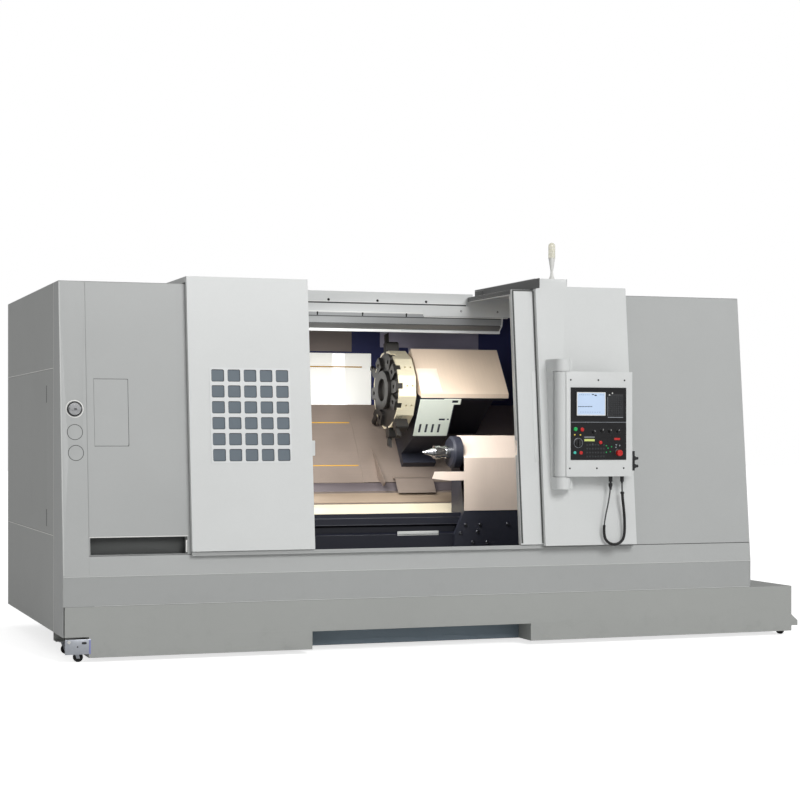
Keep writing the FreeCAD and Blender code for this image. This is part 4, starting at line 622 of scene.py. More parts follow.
PANE = Glossy("laminated pane", "7b868f", 0.08, coat=0.4, variation=0.03, alpha=0.82)
LENS = Glossy("lamp lens", "f1eedc", 0.12, coat=0.5, transmission=0.35, alpha=0.75, glow=0.12)
WINDOW_GRID = Clean("window grid coating", "dfe1e1", 0.36, coat=0.15)
# Pale lines painted on edges as highlights.
PALE_HIGHLIGHT = Clean("pale painted highlight", "cccecc", 0.45)
# Bright lines painted as highlights on edges and rims; also the screen's pale margin.
BRIGHT_TRIM_AND_HIGHLIGHT = Clean("bright trim and painted highlight", "eeeeea", 0.4)
# Dark strips painted as shade in gaps, grooves and recesses; also the hatch's seal.
DARK_SEAL_AND_SHADE = Clean("dark seal and painted shade", "4e504f", 0.6)
SCREEN = Glossy("lit screen", "bccfe8", 0.18, variation=0.02, glow=0.22)
SCREEN_BAR = Glossy("screen bars", "5f7f9c", 0.18, glow=0.4)
SCREEN_TEXT = Glossy("screen readout rows", "27394c", 0.2, glow=0.1)
WIPER = Finish("yellow wiper", "c99a2e", 0.45, bump=0.15, wear=0.25, wear_top=2)
# White back-wall panel that glows as painted light; it is no lamp.
LIT_PANEL = Clean("white panel glowing as painted light", "f2f1ea", 0.5, bump=0.05, glow=0.45)
GUARD_LIGHT = Finish("guard upper coating", "999b9b", 0.45, variation=0.08)
# Dark grey: painted shade on the guard's downward face and on the left faces of the door and the hood.
SHADED_GREY = Finish("grey darkened as painted shade", "666766", 0.45, variation=0.08)
# Tailstock cover: stainless brightened as painted light, for its lit top and left face.
LIT_TAIL_COVER = Brushed("brushed cover brightened as painted light", "f4e2d2", 0.4, metallic=0.1, variation=0.12)
WALL_BROWN = Finish("brown wall sheet", "8b8079", 0.5, wear_top=2.4, variation=0.08)
# Glowing white band: a painted reflection on that panel.
LIT_BAND = Clean("lit band", "ffffff", 0.5, bump=0.05, glow=0.8)
RIM = Brushed("ground disc rim", "ece2c4", 0.3, metallic=0.45, bump=0.08, bump_mm=0.05, variation=0.2,
              stretch=(8, 160, 160))
TOOLING = Sheet("blackened tooling", "343230", 0.38, metallic=0.6, bump=0.1, wear=0.1, wear_top=3, variation=0.3,
                stretch=(200, 20, 20))
SLOTTED = Finish("slotted guard coating", "ccd2c6", 0.4, variation=0.06)
CREAM = Brushed("cream cover plate", "efe2cf", 0.4, metallic=0.15, bump=0.05, variation=0.1)
GREY_SHEET = Finish("grey wall sheet", "a39eae", 0.45, wear_top=2.4, variation=0.08)
SLOPE_GREY = Sheet("slope grey sheet", "665e60", 0.42, metallic=0.3)
SLOPE_TAN = Sheet("slope tan sheet", "a08e7a", 0.42, metallic=0.25)
SLOPE_CREAM = Sheet("slope cream sheet", "efe3c6", 0.4, metallic=0.15, wear=0.15, variation=0.12)
TOE = Finish("toe space coating", "7d8b96", 0.6, wear=0.2, wear_top=0.2)
BLUE_ZINC = Clean("blue zinc edge", "8b90c8", 0.35, coat=0.2)
# Dark rings inside the window openings: painted shadow of the bars round them.
WINDOW_SHADE = Clean("painted window shade", "34383c", 0.6, bump=0.15)


# ------------------------------------------------------------------ pieces
def dress(piece: Piece, finish: Finish) -> Piece:
    """Gives a piece one finish all over."""
    piece.data.materials.clear()
    piece.data.materials.append(finish.material())
    return piece


def dress_nodes(finishes: dict[str, Finish]) -> None:
    """Dresses CAD nodes as they are, by name."""
    for name, finish in finishes.items():
        dress(frame["nodes"][name], finish)


def rolled(node: str, width: float, finish: Finish, segments: int = 2) -> None:
    """Dresses a copy of a CAD node with its edges rolled."""
    dress(softened(node, width, segments), finish)


def shown(name: str, finish: Finish, grids: Array, body: str = "machine",
          wrap_rows: bool = False) -> Piece:
    """Makes a fitting from grids, dresses it and lets it ride on a body.

    Args:
        name: piece name.
        finish: its finish.
        grids: (n, rows, columns, 3) in metres.
        body: the CAD body it moves with.
        wrap_rows: the section closes on itself.

    Returns:
        The piece.
    """
    piece = dress(solid(name, grids, wrap_rows), finish)
    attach(piece, body)
    log.info("%s on %s", name, body)
    return piece


def trim(name: str, finish: Finish, facing: Facing, depth: float, plates: Sequence[Plate],
         body: str = "machine") -> None:
    """Thin plates with rolled edges on one kind of surface, as one fitting.

    Args:
        name, finish, body: as for shown.
        facing: the surface that they sit on.
        depth: how far they stand out.
        plates: (centre in mm of the shop frame, width, height) of each.
    """
    shown(name, finish, np.concatenate([placed(slab(width, height, depth, 1.0, depth / 2, 3, 2), [centre],
                                                     facing) for centre, width, height in plates]), body)


# ------------------------------------------------------------------ the cabinet
@dataclass
class Cabinet:
    """Sheet pieces of the enclosure with rolled edges, and the fittings on its corner column."""

    edge: float = 1.6
    lock: Place = (87.0, 1540.0)
    grip: float = 38.0                        # how far the lock's grip stands out
    covers: tuple[Place, ...] = ((87.0, 1399.0), (91.0, 1272.0))
    hatch: tuple[float, float, float, float] = (311.5, 1519.5, 212.0, 412.0)     # centre x, z, width, height
    recess: tuple[float, float, float, float] = (168.0, 770.0, 649.0, 755.0)     # x0, x1, z0, z1

    def build(self) -> None:
        """Dresses every sheet piece of the enclosure."""
        # The left side and the front apron get darker copies of the cabinet's grey as painted shade.
        plain = {"front_left_column": CABINET, "front_left_panel": CABINET,
                 "left_side_panel": SHADED_SIDE, "side_door": SHADED_SIDE, "front_apron": SHADED_BAND, "front_sill": SILL,
                 "right_cabinet": CABINET, "roof_panel": CABINET, "rear_enclosure": CABINET}
        for name, finish in plain.items():
            rolled(name, self.edge, finish)
        dress_nodes({"interior_back_wall": LINING, "interior_left_wall": LINING, "access_hatch": CABINET})
        self.lock_fittings()
        self.side_edge_highlights()
        self.front_highlights_and_shadows()
        self.column_rings()
        self.recess_shade_and_highlights()

    def lock_fittings(self) -> None:
        """Chrome handle of the rotary lock in a black ring that is a painted reflection on the chrome, with the key
        slot, and a bright rim above that is a painted highlight.
        """
        dress_nodes({"lock_handle": CHROME})
        x, z = self.lock
        ring = turned([(33, 0), (45.5, 0), (45.5, 5), (42, 9), (36, 9), (33, 5)], 40)
        # Black ring round the handle: a painted reflection of dark surroundings in the chrome.
        shown("lock_reflection_ring", PANEL_BLACK, placed(ring, [on_front(x, z, 0.6)], Facing.LEANING), "lock", True)
        shown("lock_slot", PANEL_BLACK,
              placed(slab(18, 9, 1, 3, 0.4), [on_front(x, z, self.grip)], Facing.LEANING), "lock")
        rim = turned([(49, 0), (55, 0), (55, 1.6), (49, 2.6)], 48)
        # Bright rim: a painted highlight round the lock.
        shown("lock_rim_highlight", BRIGHT_TRIM_AND_HIGHLIGHT, placed(rim, [on_front(x, z)], Facing.LEANING),
              wrap_rows=True)

    def side_edge_highlights(self) -> None:
        """Painted highlights as light lines round the left side door, and painted shade as dark linings in its slot
        pulls.
        """
        edge_highlights = [((0.3, 1394.5, z), 2051, 5) for z in (756.5, 1796.5)]
        # Light lines along the side door's edges: painted highlights.
        trim("side_edge_highlights", BRIGHT_TRIM_AND_HIGHLIGHT, Facing.LEFT, 0.9, edge_highlights + [((0.3, 364.5, 1241), 5, 2168)])
        # Dark linings in the pull cups: painted shade.
        trim("pull_shade", DARK_SEAL_AND_SHADE, Facing.LEFT, 1.0,
             [((0.3, 638, z), 15, 108) for z in (857, 1641)], "side_door")

    def front_highlights_and_shadows(self) -> None:
        """Painted highlights along the column's edge and the sill, painted shadow lines under the doors and the right
        cabinet, and the column's joint line.
        """
        # Light lines on edges: painted highlights.
        trim("column_edge_highlight", PALE_HIGHLIGHT, Facing.LEANING, 0.9, [(on_front(5, 1425, 0.4), 7, 1795)])
        trim("sill_edge_highlights", PALE_HIGHLIGHT, Facing.FRONT, 0.9,
             [((2350, -0.3, 521), 4690, 5), ((2440, -0.3, 343), 4500, 4)])
        # Dark lines under the doors and the right cabinet: painted shadow in the gaps.
        trim("front_shadow_lines", DARK_SEAL_AND_SHADE, Facing.FRONT, 0.9,
             [((4250, front(644) - 0.4, 645.5), 896, 4), ((1184, 9, 652), 780, 13), ((3470, 14, 648.5), 655, 8)])
        # Joint line beside the column, in the apron's painted-shade tone.
        trim("column_joint", SHADED_BAND, Facing.LEANING, 0.8, [(on_front(163, 1485, 0.4), 3, 1680)])

    def column_rings(self) -> None:
        """Painted shade as dark rings in the grooves of the round covers, and the hatch's seal."""
        ring = turned([(44.6, 0), (48.4, 0), (48.4, 0.7), (44.6, 0.7)], 44)
        # Dark ring in each cover's groove: painted shade.
        shown("cover_groove_shade", DARK_SEAL_AND_SHADE,
              placed(ring, [on_front(x, z) for x, z in self.covers], Facing.LEANING), wrap_rows=True)
        x, z, wide, tall = self.hatch
        ends = [(on_front(x, z + side * tall / 2), wide, 2.8) for side in (-1, 1)]
        trim("hatch_seal", DARK_SEAL_AND_SHADE, Facing.LEANING, 0.6,
             ends + [((x + wide / 2, front(z), z), 2.8, tall)])

    def recess_shade_and_highlights(self) -> None:
        """Painted shade as a dark lining on the long recess's back, and painted highlights as a light bead above it
        and a bright lip at its right end.
        """
        x0, x1, z0, z1 = self.recess
        x, z, long, bead = (x0 + x1) / 2, (z0 + z1) / 2, x1 - x0, z1 + 4
        # Dark lining on the recess's back: painted shade.
        trim("recess_shade", DARK_SEAL_AND_SHADE, Facing.FRONT, 1.2, [((x, 92, z), long - 4, z1 - z0 - 4)])
        # Light bead and bright lip: painted highlights.
        trim("recess_bead_highlight", BRIGHT_TRIM_AND_HIGHLIGHT, Facing.LEANING, 1.2, [(on_front(x, bead, 0.4), long + 8, 5)])
        trim("recess_lip_highlight", BRIGHT_TRIM_AND_HIGHLIGHT, Facing.FRONT, 2.0, [((x1 - 6, 20, z - 6), 9, 76)])


# ------------------------------------------------------------------ doors
@dataclass
class SlidingDoor:
    """One sliding door: rolled sheet, window lips, dark rings of painted shade in the openings, and its pane."""

    name: str
    pane_x: float
    proud: float = 45.0
    window: tuple[float, float] = (84.0, 76.0)
    pitch: tuple[float, float] = (104.0, 99.4)
    low: float = 1206.0
    count: tuple[int, int] = (5, 6)
    plain: int = 0                            # window columns under a plain sheet
    side_x: float = 2981.8                    # just off the left side's face

    def window_sites(self) -> Array:
        """Centres of the window openings, in mm, on the door's front face."""
        cols, rows = np.meshgrid(np.arange(self.plain, self.count[0]), np.arange(self.count[1]))
        x = self.pane_x + (cols.ravel() + 0.5) * self.pitch[0]
        z = self.low + (rows.ravel() + 0.5) * self.pitch[1]
        return np.stack((x, LEAN * (z - BREAK) - self.proud, z), -1)

    def build(self) -> None:
        """Dresses the door and fits a lip into every window opening, with a dark ring set back inside it as painted
        shade of the bars.
        """
        rolled(self.name, 2.0, DOOR, 3)
        dress_nodes({self.name + "_glass": PANE})
        sites = self.window_sites()
        w, h = self.window
        across, up = self.pitch[0], self.pitch[1] / UPRIGHT
        grid = frame_ring(across, up, (across - w) / 2 + 1.2, 2.4, 1, 10, 7)
        shown(self.name + "_window_grid", WINDOW_GRID, placed(grid, sites, Facing.LEANING),
              self.name, True)
        # Dark ring set back in each opening: painted shade of the bars.
        shown(self.name + "_window_shade", WINDOW_SHADE,
              placed(frame_ring(w - 1, h - 1, 3.2, 2, 9), sites + (0, 5, 0), Facing.LEANING), self.name, True)
        if self.plain:
            self.edge_sheets()

    def edge_sheets(self) -> None:
        """Plain sheet over the first window columns, with painted shade as dark lines along the door's left edge and
        top, and as dark strips on its left return.
        """
        wide, tall = self.plain * self.pitch[0], self.count[1] * self.pitch[1]
        site = on_front(self.pane_x + wide / 2, self.low + tall / 2, self.proud)
        shown(self.name + "_plain_sheet", DOOR,
              placed(slab(wide, tall / UPRIGHT, 2.4, 3, 0.8), [site], Facing.LEANING), self.name)
        # Dark lines at the door's left edge and top: painted shade in the gap.
        trim(self.name + "_edge_shade", DARK_SEAL_AND_SHADE, Facing.LEANING, 0.8,
             [(on_front(2991, 1504, self.proud), 13, 1672), (on_front(3060, 2339, self.proud), 150, 9)], self.name)
        # Dark strips on the door's left face: painted shade.
        trim(self.name + "_return_shade", SHADED_GREY, Facing.LEFT, 0.8,
             [((self.side_x, 540, 2333), 770, 22)], self.name)
        trim(self.name + "_return_shadow_line", PANEL_BLACK, Facing.LEFT, 0.8,
             [((self.side_x, 540, 2318), 770, 6)], self.name)


# ------------------------------------------------------------------ housing, track and lamp
@dataclass
class Housing:
    """Fixed hood in front of the right door, with the track above the opening and the signal lamp."""

    beam_one: Place = (950.0, 2310.0)         # y, z of the upper beam's face
    beam_two: Place = (900.0, 2245.0)         # y, z of the lower beam's face
    lamp: Point = (3325.0, 250.0, 2420.0)
    side_x: float = 3139.8                    # just off the hood's left face
    guard: Place = (2412.0, 1620.0)           # middle x and length of the guard

    def build(self) -> None:
        """Dresses the hood and the track and adds their screws and the lamp's inner rod."""
        rolled("hmi_housing", 1.6, DOOR)
        rolled("door_track", 1.2, DOOR)
        self.track_fittings()
        self.track_sheets()
        dress_nodes({"signal_lamp_base": WHITE, "signal_lamp_lens": LENS})
        x, y, z = self.lamp
        rod = turned([(0, 0), (7, 0), (7, 70), (4, 76), (0, 76)], 16)
        shown("lamp_core", WHITE, placed(rod, [(x, y, z + 152)], Facing.UP))
        bands = [turned([(19, h), (23.4, h), (23.4, h + 2.4), (19, h + 2.4)], 32) for h in (0, 34, 66)]
        shown("lamp_bands", WHITE,
              np.concatenate([placed(band, [(x, y, z + 151)], Facing.UP) for band in bands]), wrap_rows=True)

    def track_fittings(self) -> None:
        """Screws, hanging pins and blocks of the track above the opening."""
        (y1, z1), (y2, z2) = self.beam_one, self.beam_two
        screws = [(x, y1, z1) for x in (1614, 1968, 2322, 2680)] + [(x, y2, z2) for x in (2921, 3196)]
        shown("track_screws", BLACK_SCREW, placed(screw_head(9, 6), screws, Facing.FRONT))
        pin = turned([(0, 0), (8, 0), (8, 10), (6, 14), (6, 22), (0, 24)], 16) * (1, 1, -1)
        shown("track_pins", BLACK_SCREW,
              placed(pin, [(x, y2 + 6, 2222.5) for x in (1874, 2198, 2517)], Facing.UP))
        blocks = [(x, y1, z) for x, z in ((3276, 2315), (3270, 2278), (3044, 2314))]
        shown("track_blocks", BLACK_SCREW, placed(slab(22, 20, 6, 4, 1), blocks, Facing.FRONT))

    def track_sheets(self) -> None:
        """Painted shadow lines and painted highlights along the track, the guard's upper sheet and its lower sheet
        darkened as painted shade, and painted shade on the hood's left face and along its left edge.
        """
        y1, y2 = self.beam_one[0] - 0.2, self.beam_two[0] - 0.2
        x, long = self.guard
        middle, length = 2290, 1376
        # Dark lines under the beam's lip and along the guard: painted shadow.
        trim("track_shadow_lines", DARK_SEAL_AND_SHADE, Facing.FRONT, 1.0,
             [((middle, y1, 2290), length, 9), ((x, 914, 2149), long, 6), ((x, 904.4, 2196), long, 7)])
        # Light lines along the beams' and the guard's edges: painted highlights.
        trim("track_highlights", BRIGHT_TRIM_AND_HIGHLIGHT, Facing.FRONT, 1.2,
             [((middle, y1, 2298), length, 4), ((middle + 80, y2, 2226), length + 150, 5),
              ((2960, y2, 2202), 630, 5), ((2050, 959.6, 2107), 900, 11)])
        # Dark sheets on the hood's left face and a dark line at its left edge: painted shade.
        trim("hood_side_shade", SHADED_GREY, Facing.LEFT, 0.8,
             [((self.side_x, 523, 2384), 986, 66), ((self.side_x, 1103, 2380.5), 167, 57)])
        trim("hood_edge_shade", DARK_SEAL_AND_SHADE, Facing.LEANING, 0.8, [(on_front(3135.2, 1504, 51), 8.5, 1672)])
        trim("guard_upper_sheet", GUARD_LIGHT, Facing.GUARD_UPPER, 0.8,
             [((2400, 906.8, 2186), 1660, 68)])
        # Lower guard sheet, facing down: darkened as painted shade.
        trim("guard_lower_shade", SHADED_GREY, Facing.GUARD_LOWER, 0.8,
             [((2400, 936.8, 2130.8), 1660, 54)])


# ------------------------------------------------------------------ control panel
@dataclass
class ControlPanel:
    """Swinging panel: screen, keypad, operator panel, buttons and the hanging cable."""

    body: str = "control_panel"
    face_y: float = -166.0
    box_y: float = -162.0
    screen: tuple[float, float, float, float] = (3317.0, 3527.0, 1507.0, 1663.0)      # x0, x1, z0, z1
    keypad: tuple[float, float, float, float] = (3538.0, 3655.0, 1494.0, 1650.0)
    dial: Place = (3328.0, 1329.0)
    knobs: tuple[Place, ...] = ((3443.0, 1401.0), (3502.0, 1410.0), (3559.0, 1407.0), (3618.0, 1407.0))
    socket: Place = (3724.5, -145.0)          # x, y of the socket plate's face
    route: tuple[Place, ...] = (
        (3593.0, 1074.0), (3593.0, 998.0), (3546.0, 805.0), (3546.0, 708.6), (3574.6, 669.2), (3621.0, 654.1),
        (3667.4, 669.2), (3696.0, 708.6), (3696.0, 845.0), (3677.0, 988.0), (3677.0, 1074.0))
    cable_y: float = -100.0
    cable_d: float = 10.0
    cable_length: float = 0.924               # metres
    sleeve: float = 0.0093                    # outside radius, metres
    conduit: tuple[float, float] = (0.790, 1.008)     # heights of the sleeve's two ends, metres

    def build(self) -> None:
        """Dresses the panel and adds what sits on its face."""
        rolled("hmi_box", 2.0, DOOR, 3)
        rolled("hmi_face", 0.8, PANEL_BLACK)
        dress_nodes({"emergency_stop": RED, "cycle_start": GREEN, "feed_hold": RED, "mode_selector": BLACK})
        self.display()
        self.keys()
        self.rings_and_dials()
        self.caps_and_lamps()
        self.small_keys()
        self.case_fittings()
        self.cable()

    def put(self, name: str, finish: Finish, grid: Array, places: Sequence[Place],
            back: float = 0.0, wrap_rows: bool = False) -> None:
        """Copies of a grid at (x, z) places on the black face, sunk into it by back."""
        sites = [(x, self.face_y + back, z) for x, z in places]
        shown(name, finish, placed(grid, sites, Facing.FRONT), self.body, wrap_rows)

    def lines(self, name: str, finish: Finish, slot: str, depth: float, back: float,
              plates: Sequence[tuple[float, float, float, float]]) -> None:
        """Thin plates at (x, z, width, height) on the black face, sunk into it by back."""
        y = self.face_y + back
        trim(name, finish, Facing.FRONT, depth, [((x, y, z), w, h) for x, z, w, h in plates], self.body)

    def display(self) -> None:
        """Screen in its bezel, with a pale margin and generic readout rows."""
        x0, x1, z0, z1 = self.screen
        w, h, middle = x1 - x0, z1 - z0, [((x0 + x1) / 2, (z0 + z1) / 2)]
        self.put("screen_glass", SCREEN, slab(w - 2, h - 2, 1.2, 3, 0.5), middle, 1.5)
        self.put("screen_bezel", PANEL_BLACK, frame_ring(w + 20, h + 20, 10.5, 3, 8), middle,
                 wrap_rows=True)
        self.put("screen_margin", BRIGHT_TRIM_AND_HIGHLIGHT, frame_ring(w - 4, h - 4, 5, 0.5, 2), middle, 0.3, True)
        marks = [(x0 + 24 + 13 * k, z1 - 19, 8, 3) for k in range(6)]
        marks += [(x1 - 40 + 12 * k, z1 - 19, 7, 3) for k in range(3)]
        marks += [(x0 + 30 + 17 * k, z0 + 24, 11, 2.2) for k in range(9)]
        self.lines("screen_marks", SCREEN_BAR, "pane", 0.4, 0.3, marks)
        rows = [(x0 + 117, z1 - 17, 15, 6), (x0 + 137, z1 - 22, 16, 8)]
        rows += [(x0 + 16 + 11.5 * k, z0 + 60, 8.5, 5.5) for k in range(9)]
        self.lines("screen_rows", SCREEN_TEXT, "pane", 0.4, 0.3, rows)

    def keys(self) -> None:
        """Dark keypad with its light border lines and two small lamps above it."""
        x0, x1, z0, z1 = self.keypad
        x, z, w, h = (x0 + x1) / 2, (z0 + z1) / 2, x1 - x0, z1 - z0
        self.put("keypad_bed", KEY_BED, slab(w, h, 1.2, 4, 0.6), [(x, z)])
        xs, zs = np.meshgrid(np.linspace(x0 + 12, x1 - 12, 8), np.linspace(z0 + 16, z1 - 14, 10))
        self.put("keypad_keys", DARK_KEY, slab(10.5, 11, 3, 1.5, 1, 4, 2),
                 list(zip(xs.ravel(), zs.ravel())), -1.0)
        self.lines("keypad_lines", KEY, "grey_plastic", 0.6, -1.0,
                   [(x, z0 + 3, w - 6, 4.5), (x0 + 2.5, z - 4, 2.5, h - 30)])
        dot = turned([(0, 0), (5, 0), (4.6, 2.4), (2.5, 3.6), (0, 4)], 16)
        self.put("keypad_lamps", WHITE, dot, [(3553, 1643), (3574, 1656)])
        self.lines("face_joint", KEY, "grey_plastic", 1.6, 3.0, [(3476, 1465, 398, 3.6)])

    def rings_and_dials(self) -> None:
        """Rings of the buttons and of the stop, the selector's dial and the knobs' marks and scales."""
        for name, finish, slot, profile, segments, places in (
                ("button_rings", BLACK, "steel", ((14, 0), (17.5, 0), (17.5, 2), (16, 3.2), (14, 3.2)), 28,
                 ((3307, 1420), (3354, 1417))),
                ("stop_collar", BLACK, "steel", ((20.8, 0), (27, 0), (27, 2), (24, 3.6), (20.8, 3.6)), 32,
                 ((3618, 1263),)),
                ("selector_dial", PANEL_BLACK, "black_plastic", ((9, 0), (34, 0), (34, 1.6), (31, 2.8), (9, 2.8)),
                 40, (self.dial,)),
                ("selector_scale", KEY, "grey_plastic", ((30, 2), (32, 2), (32, 3.2), (30, 3.2)), 40,
                 (self.dial,))):
            self.put(name, finish, turned(profile, segments), places, wrap_rows=True)
        self.put("knob_marks", WHITE, slab(2.2, 9, 0.6, 0.5, 0.2),
                 [(x, z + 6) for x, z in self.knobs], -14.0)
        self.put("knob_scales", DARK_KEY, turned([(17, 0), (19, 0), (19, 1), (17, 1)], 28),
                 self.knobs, wrap_rows=True)

    def caps_and_lamps(self) -> None:
        """Coloured caps, lamps and the small readout."""
        cap = turned([(0, 0), (12, 0), (12, 5), (9, 8.5), (4, 9.6), (0, 9.8)], 24)
        self.put("red_caps", RED, cap, [(3488, 1332), (3348, 1265)])
        self.put("red_bar", RED, slab(44, 15, 5, 7, 2), [(3608, 1355)])
        self.put("teal_cap", TEAL, cap * 0.8, [(3304, 1266)])
        lamp = turned([(0, 0), (4.4, 0), (4.4, 1.6), (3, 3), (0, 3.4)], 14)
        self.put("yellow_lamps", AMBER, lamp * 1.15, [(3303, 1383), (3344, 1382)])
        self.put("green_lamps", GREEN, lamp,
                 [(3531, 1311), (3543, 1295), (3559, 1272), (3569, 1304), (3531, 1268)])
        self.put("small_readout_bed", KEY_BED, slab(86, 40, 1.6, 3, 0.8), [(3409, 1354)])
        self.lines("small_readout", READOUT, "pane", 0.6, -1.5, [(3409, 1347.5, 74, 14)])
        self.lines("small_readout_top", KEY, "pane", 0.6, -1.5, [(3409, 1367, 74, 6)])

    def small_keys(self) -> None:
        """Small keys between the dial and the stop button, clear of the red cap."""
        xs, zs = np.meshgrid(np.linspace(3392, 3512, 7), np.linspace(1240, 1316, 4))
        key = slab(12.5, 11, 2.6, 1.5, 1, 4, 2)
        places = [(x, z) for x, z in zip(xs.ravel(), zs.ravel()) if abs(x - 3488) > 14 or z < 1300]
        self.put("function_keys", DARK_KEY, key, places)
        self.put("light_keys", KEY, key * 0.75,
                 [(3432, 1319), (3603, 1316), (3627, 1312), (3600, 1300), (3447, 1409)])

    def case_fittings(self) -> None:
        """Screws of the case, the plugs on its right side and the glands under it."""
        corners = [(x, self.box_y, z) for z, row in ((1741, (3277, 3475, 3665)), (1163, (3271, 3465, 3659)))
                   for x in row]
        shown("panel_screws", BLACK_SCREW, placed(screw_head(6, 3.4), corners, Facing.FRONT), self.body)
        (x, y), thick = self.socket, 18.0
        plug = turned([(0, 0), (14, 0), (14, 10), (10, 13), (10, 26), (7, 30), (0, 31)], 20)
        gland = turned([(0, 0), (13, 0), (13, 14), (12.6, 15), (12.6, 36), (0, 36)], 24) * (1, 1, -1)
        for name, grid, sites, facing in (
                ("side_socket_plate", slab(28, 130, thick, 4, 2.5), [(x, y, 1211)], Facing.RIGHT),
                ("side_plugs", plug, [(x + thick - 0.5, y, z) for z in (1176, 1227)], Facing.RIGHT),
                ("cable_glands", gland, [(x, self.cable_y, 1109) for x in (3593, 3677)], Facing.UP)):
            shown(name, BLACK, placed(grid, sites, facing), self.body)

    def cable(self) -> None:
        """Hanging cable, its conduit sleeve with a ferrule, and a strain relief at each end."""
        line, points = self.smooth_line()
        left, right = self.conduit
        first = int(np.argmax(points[:, 2] < left))
        last = len(points) - int(np.argmax(points[::-1, 2] < right))
        sleeve = shown("cable_conduit", RUBBER, swept(points[first:last], self.sleeve)[None],
                       self.body)
        collar = turned([(0, -8), (12, -8), (13, -5), (13, 4), (10, 8), (0, 8)], 20)
        ferrule = shown("conduit_ferrule", RUBBER,
                        placed(collar, [points[last - 1] * MM - SHIFT], Facing.UP), self.body)
        relief = turned([(0, 0), (7, 0), (7, 10), (13, 13), (13.5, 32), (9, 38), (7.5, 56), (0, 57)], 20)
        short = turned([(0, 0), (7.5, 0), (7.5, 6), (6.5, 14), (0, 15)], 20)
        boot, cuff = [shown(name, BLACK,
                            placed(grid * (1, 1, -1), [(x, self.cable_y, z + 1)], Facing.UP), self.body)
                      for name, grid, (x, z) in (("cable_boot", relief, self.route[0]),
                                                 ("cable_cuff", short, self.route[-1]))]

    def smooth_line(self) -> tuple[Piece, Array]:
        """The cable as one smooth curve along its route, and the points of its middle line in metres."""
        curve = bpy.data.curves.new("panel_cable", "CURVE")
        curve.dimensions = "3D"
        curve.resolution_u = 10
        spline = curve.splines.new("NURBS")
        spline.points.add(len(self.route) - 1)
        spline.points.foreach_set("co", np.array([(*mm(x, self.cable_y, z), 1.0) for x, z in self.route]).ravel())
        spline.order_u = 3
        spline.use_endpoint_u = True
        line = bpy.data.objects.new("panel_cable", curve)
        bpy.context.scene.collection.objects.link(line)
        track = bpy.data.meshes.new_from_object(line.evaluated_get(bpy.context.evaluated_depsgraph_get()))
        points = np.array([v.co for v in track.vertices])
        bpy.data.meshes.remove(track)
        curve.bevel_depth = self.cable_d / 2 / MM
        curve.bevel_resolution = 5
        curve.use_fill_caps = True
        dress(line, GREY_CABLE)
        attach(line, self.body)
        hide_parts("hmi_cable")
        return line, points


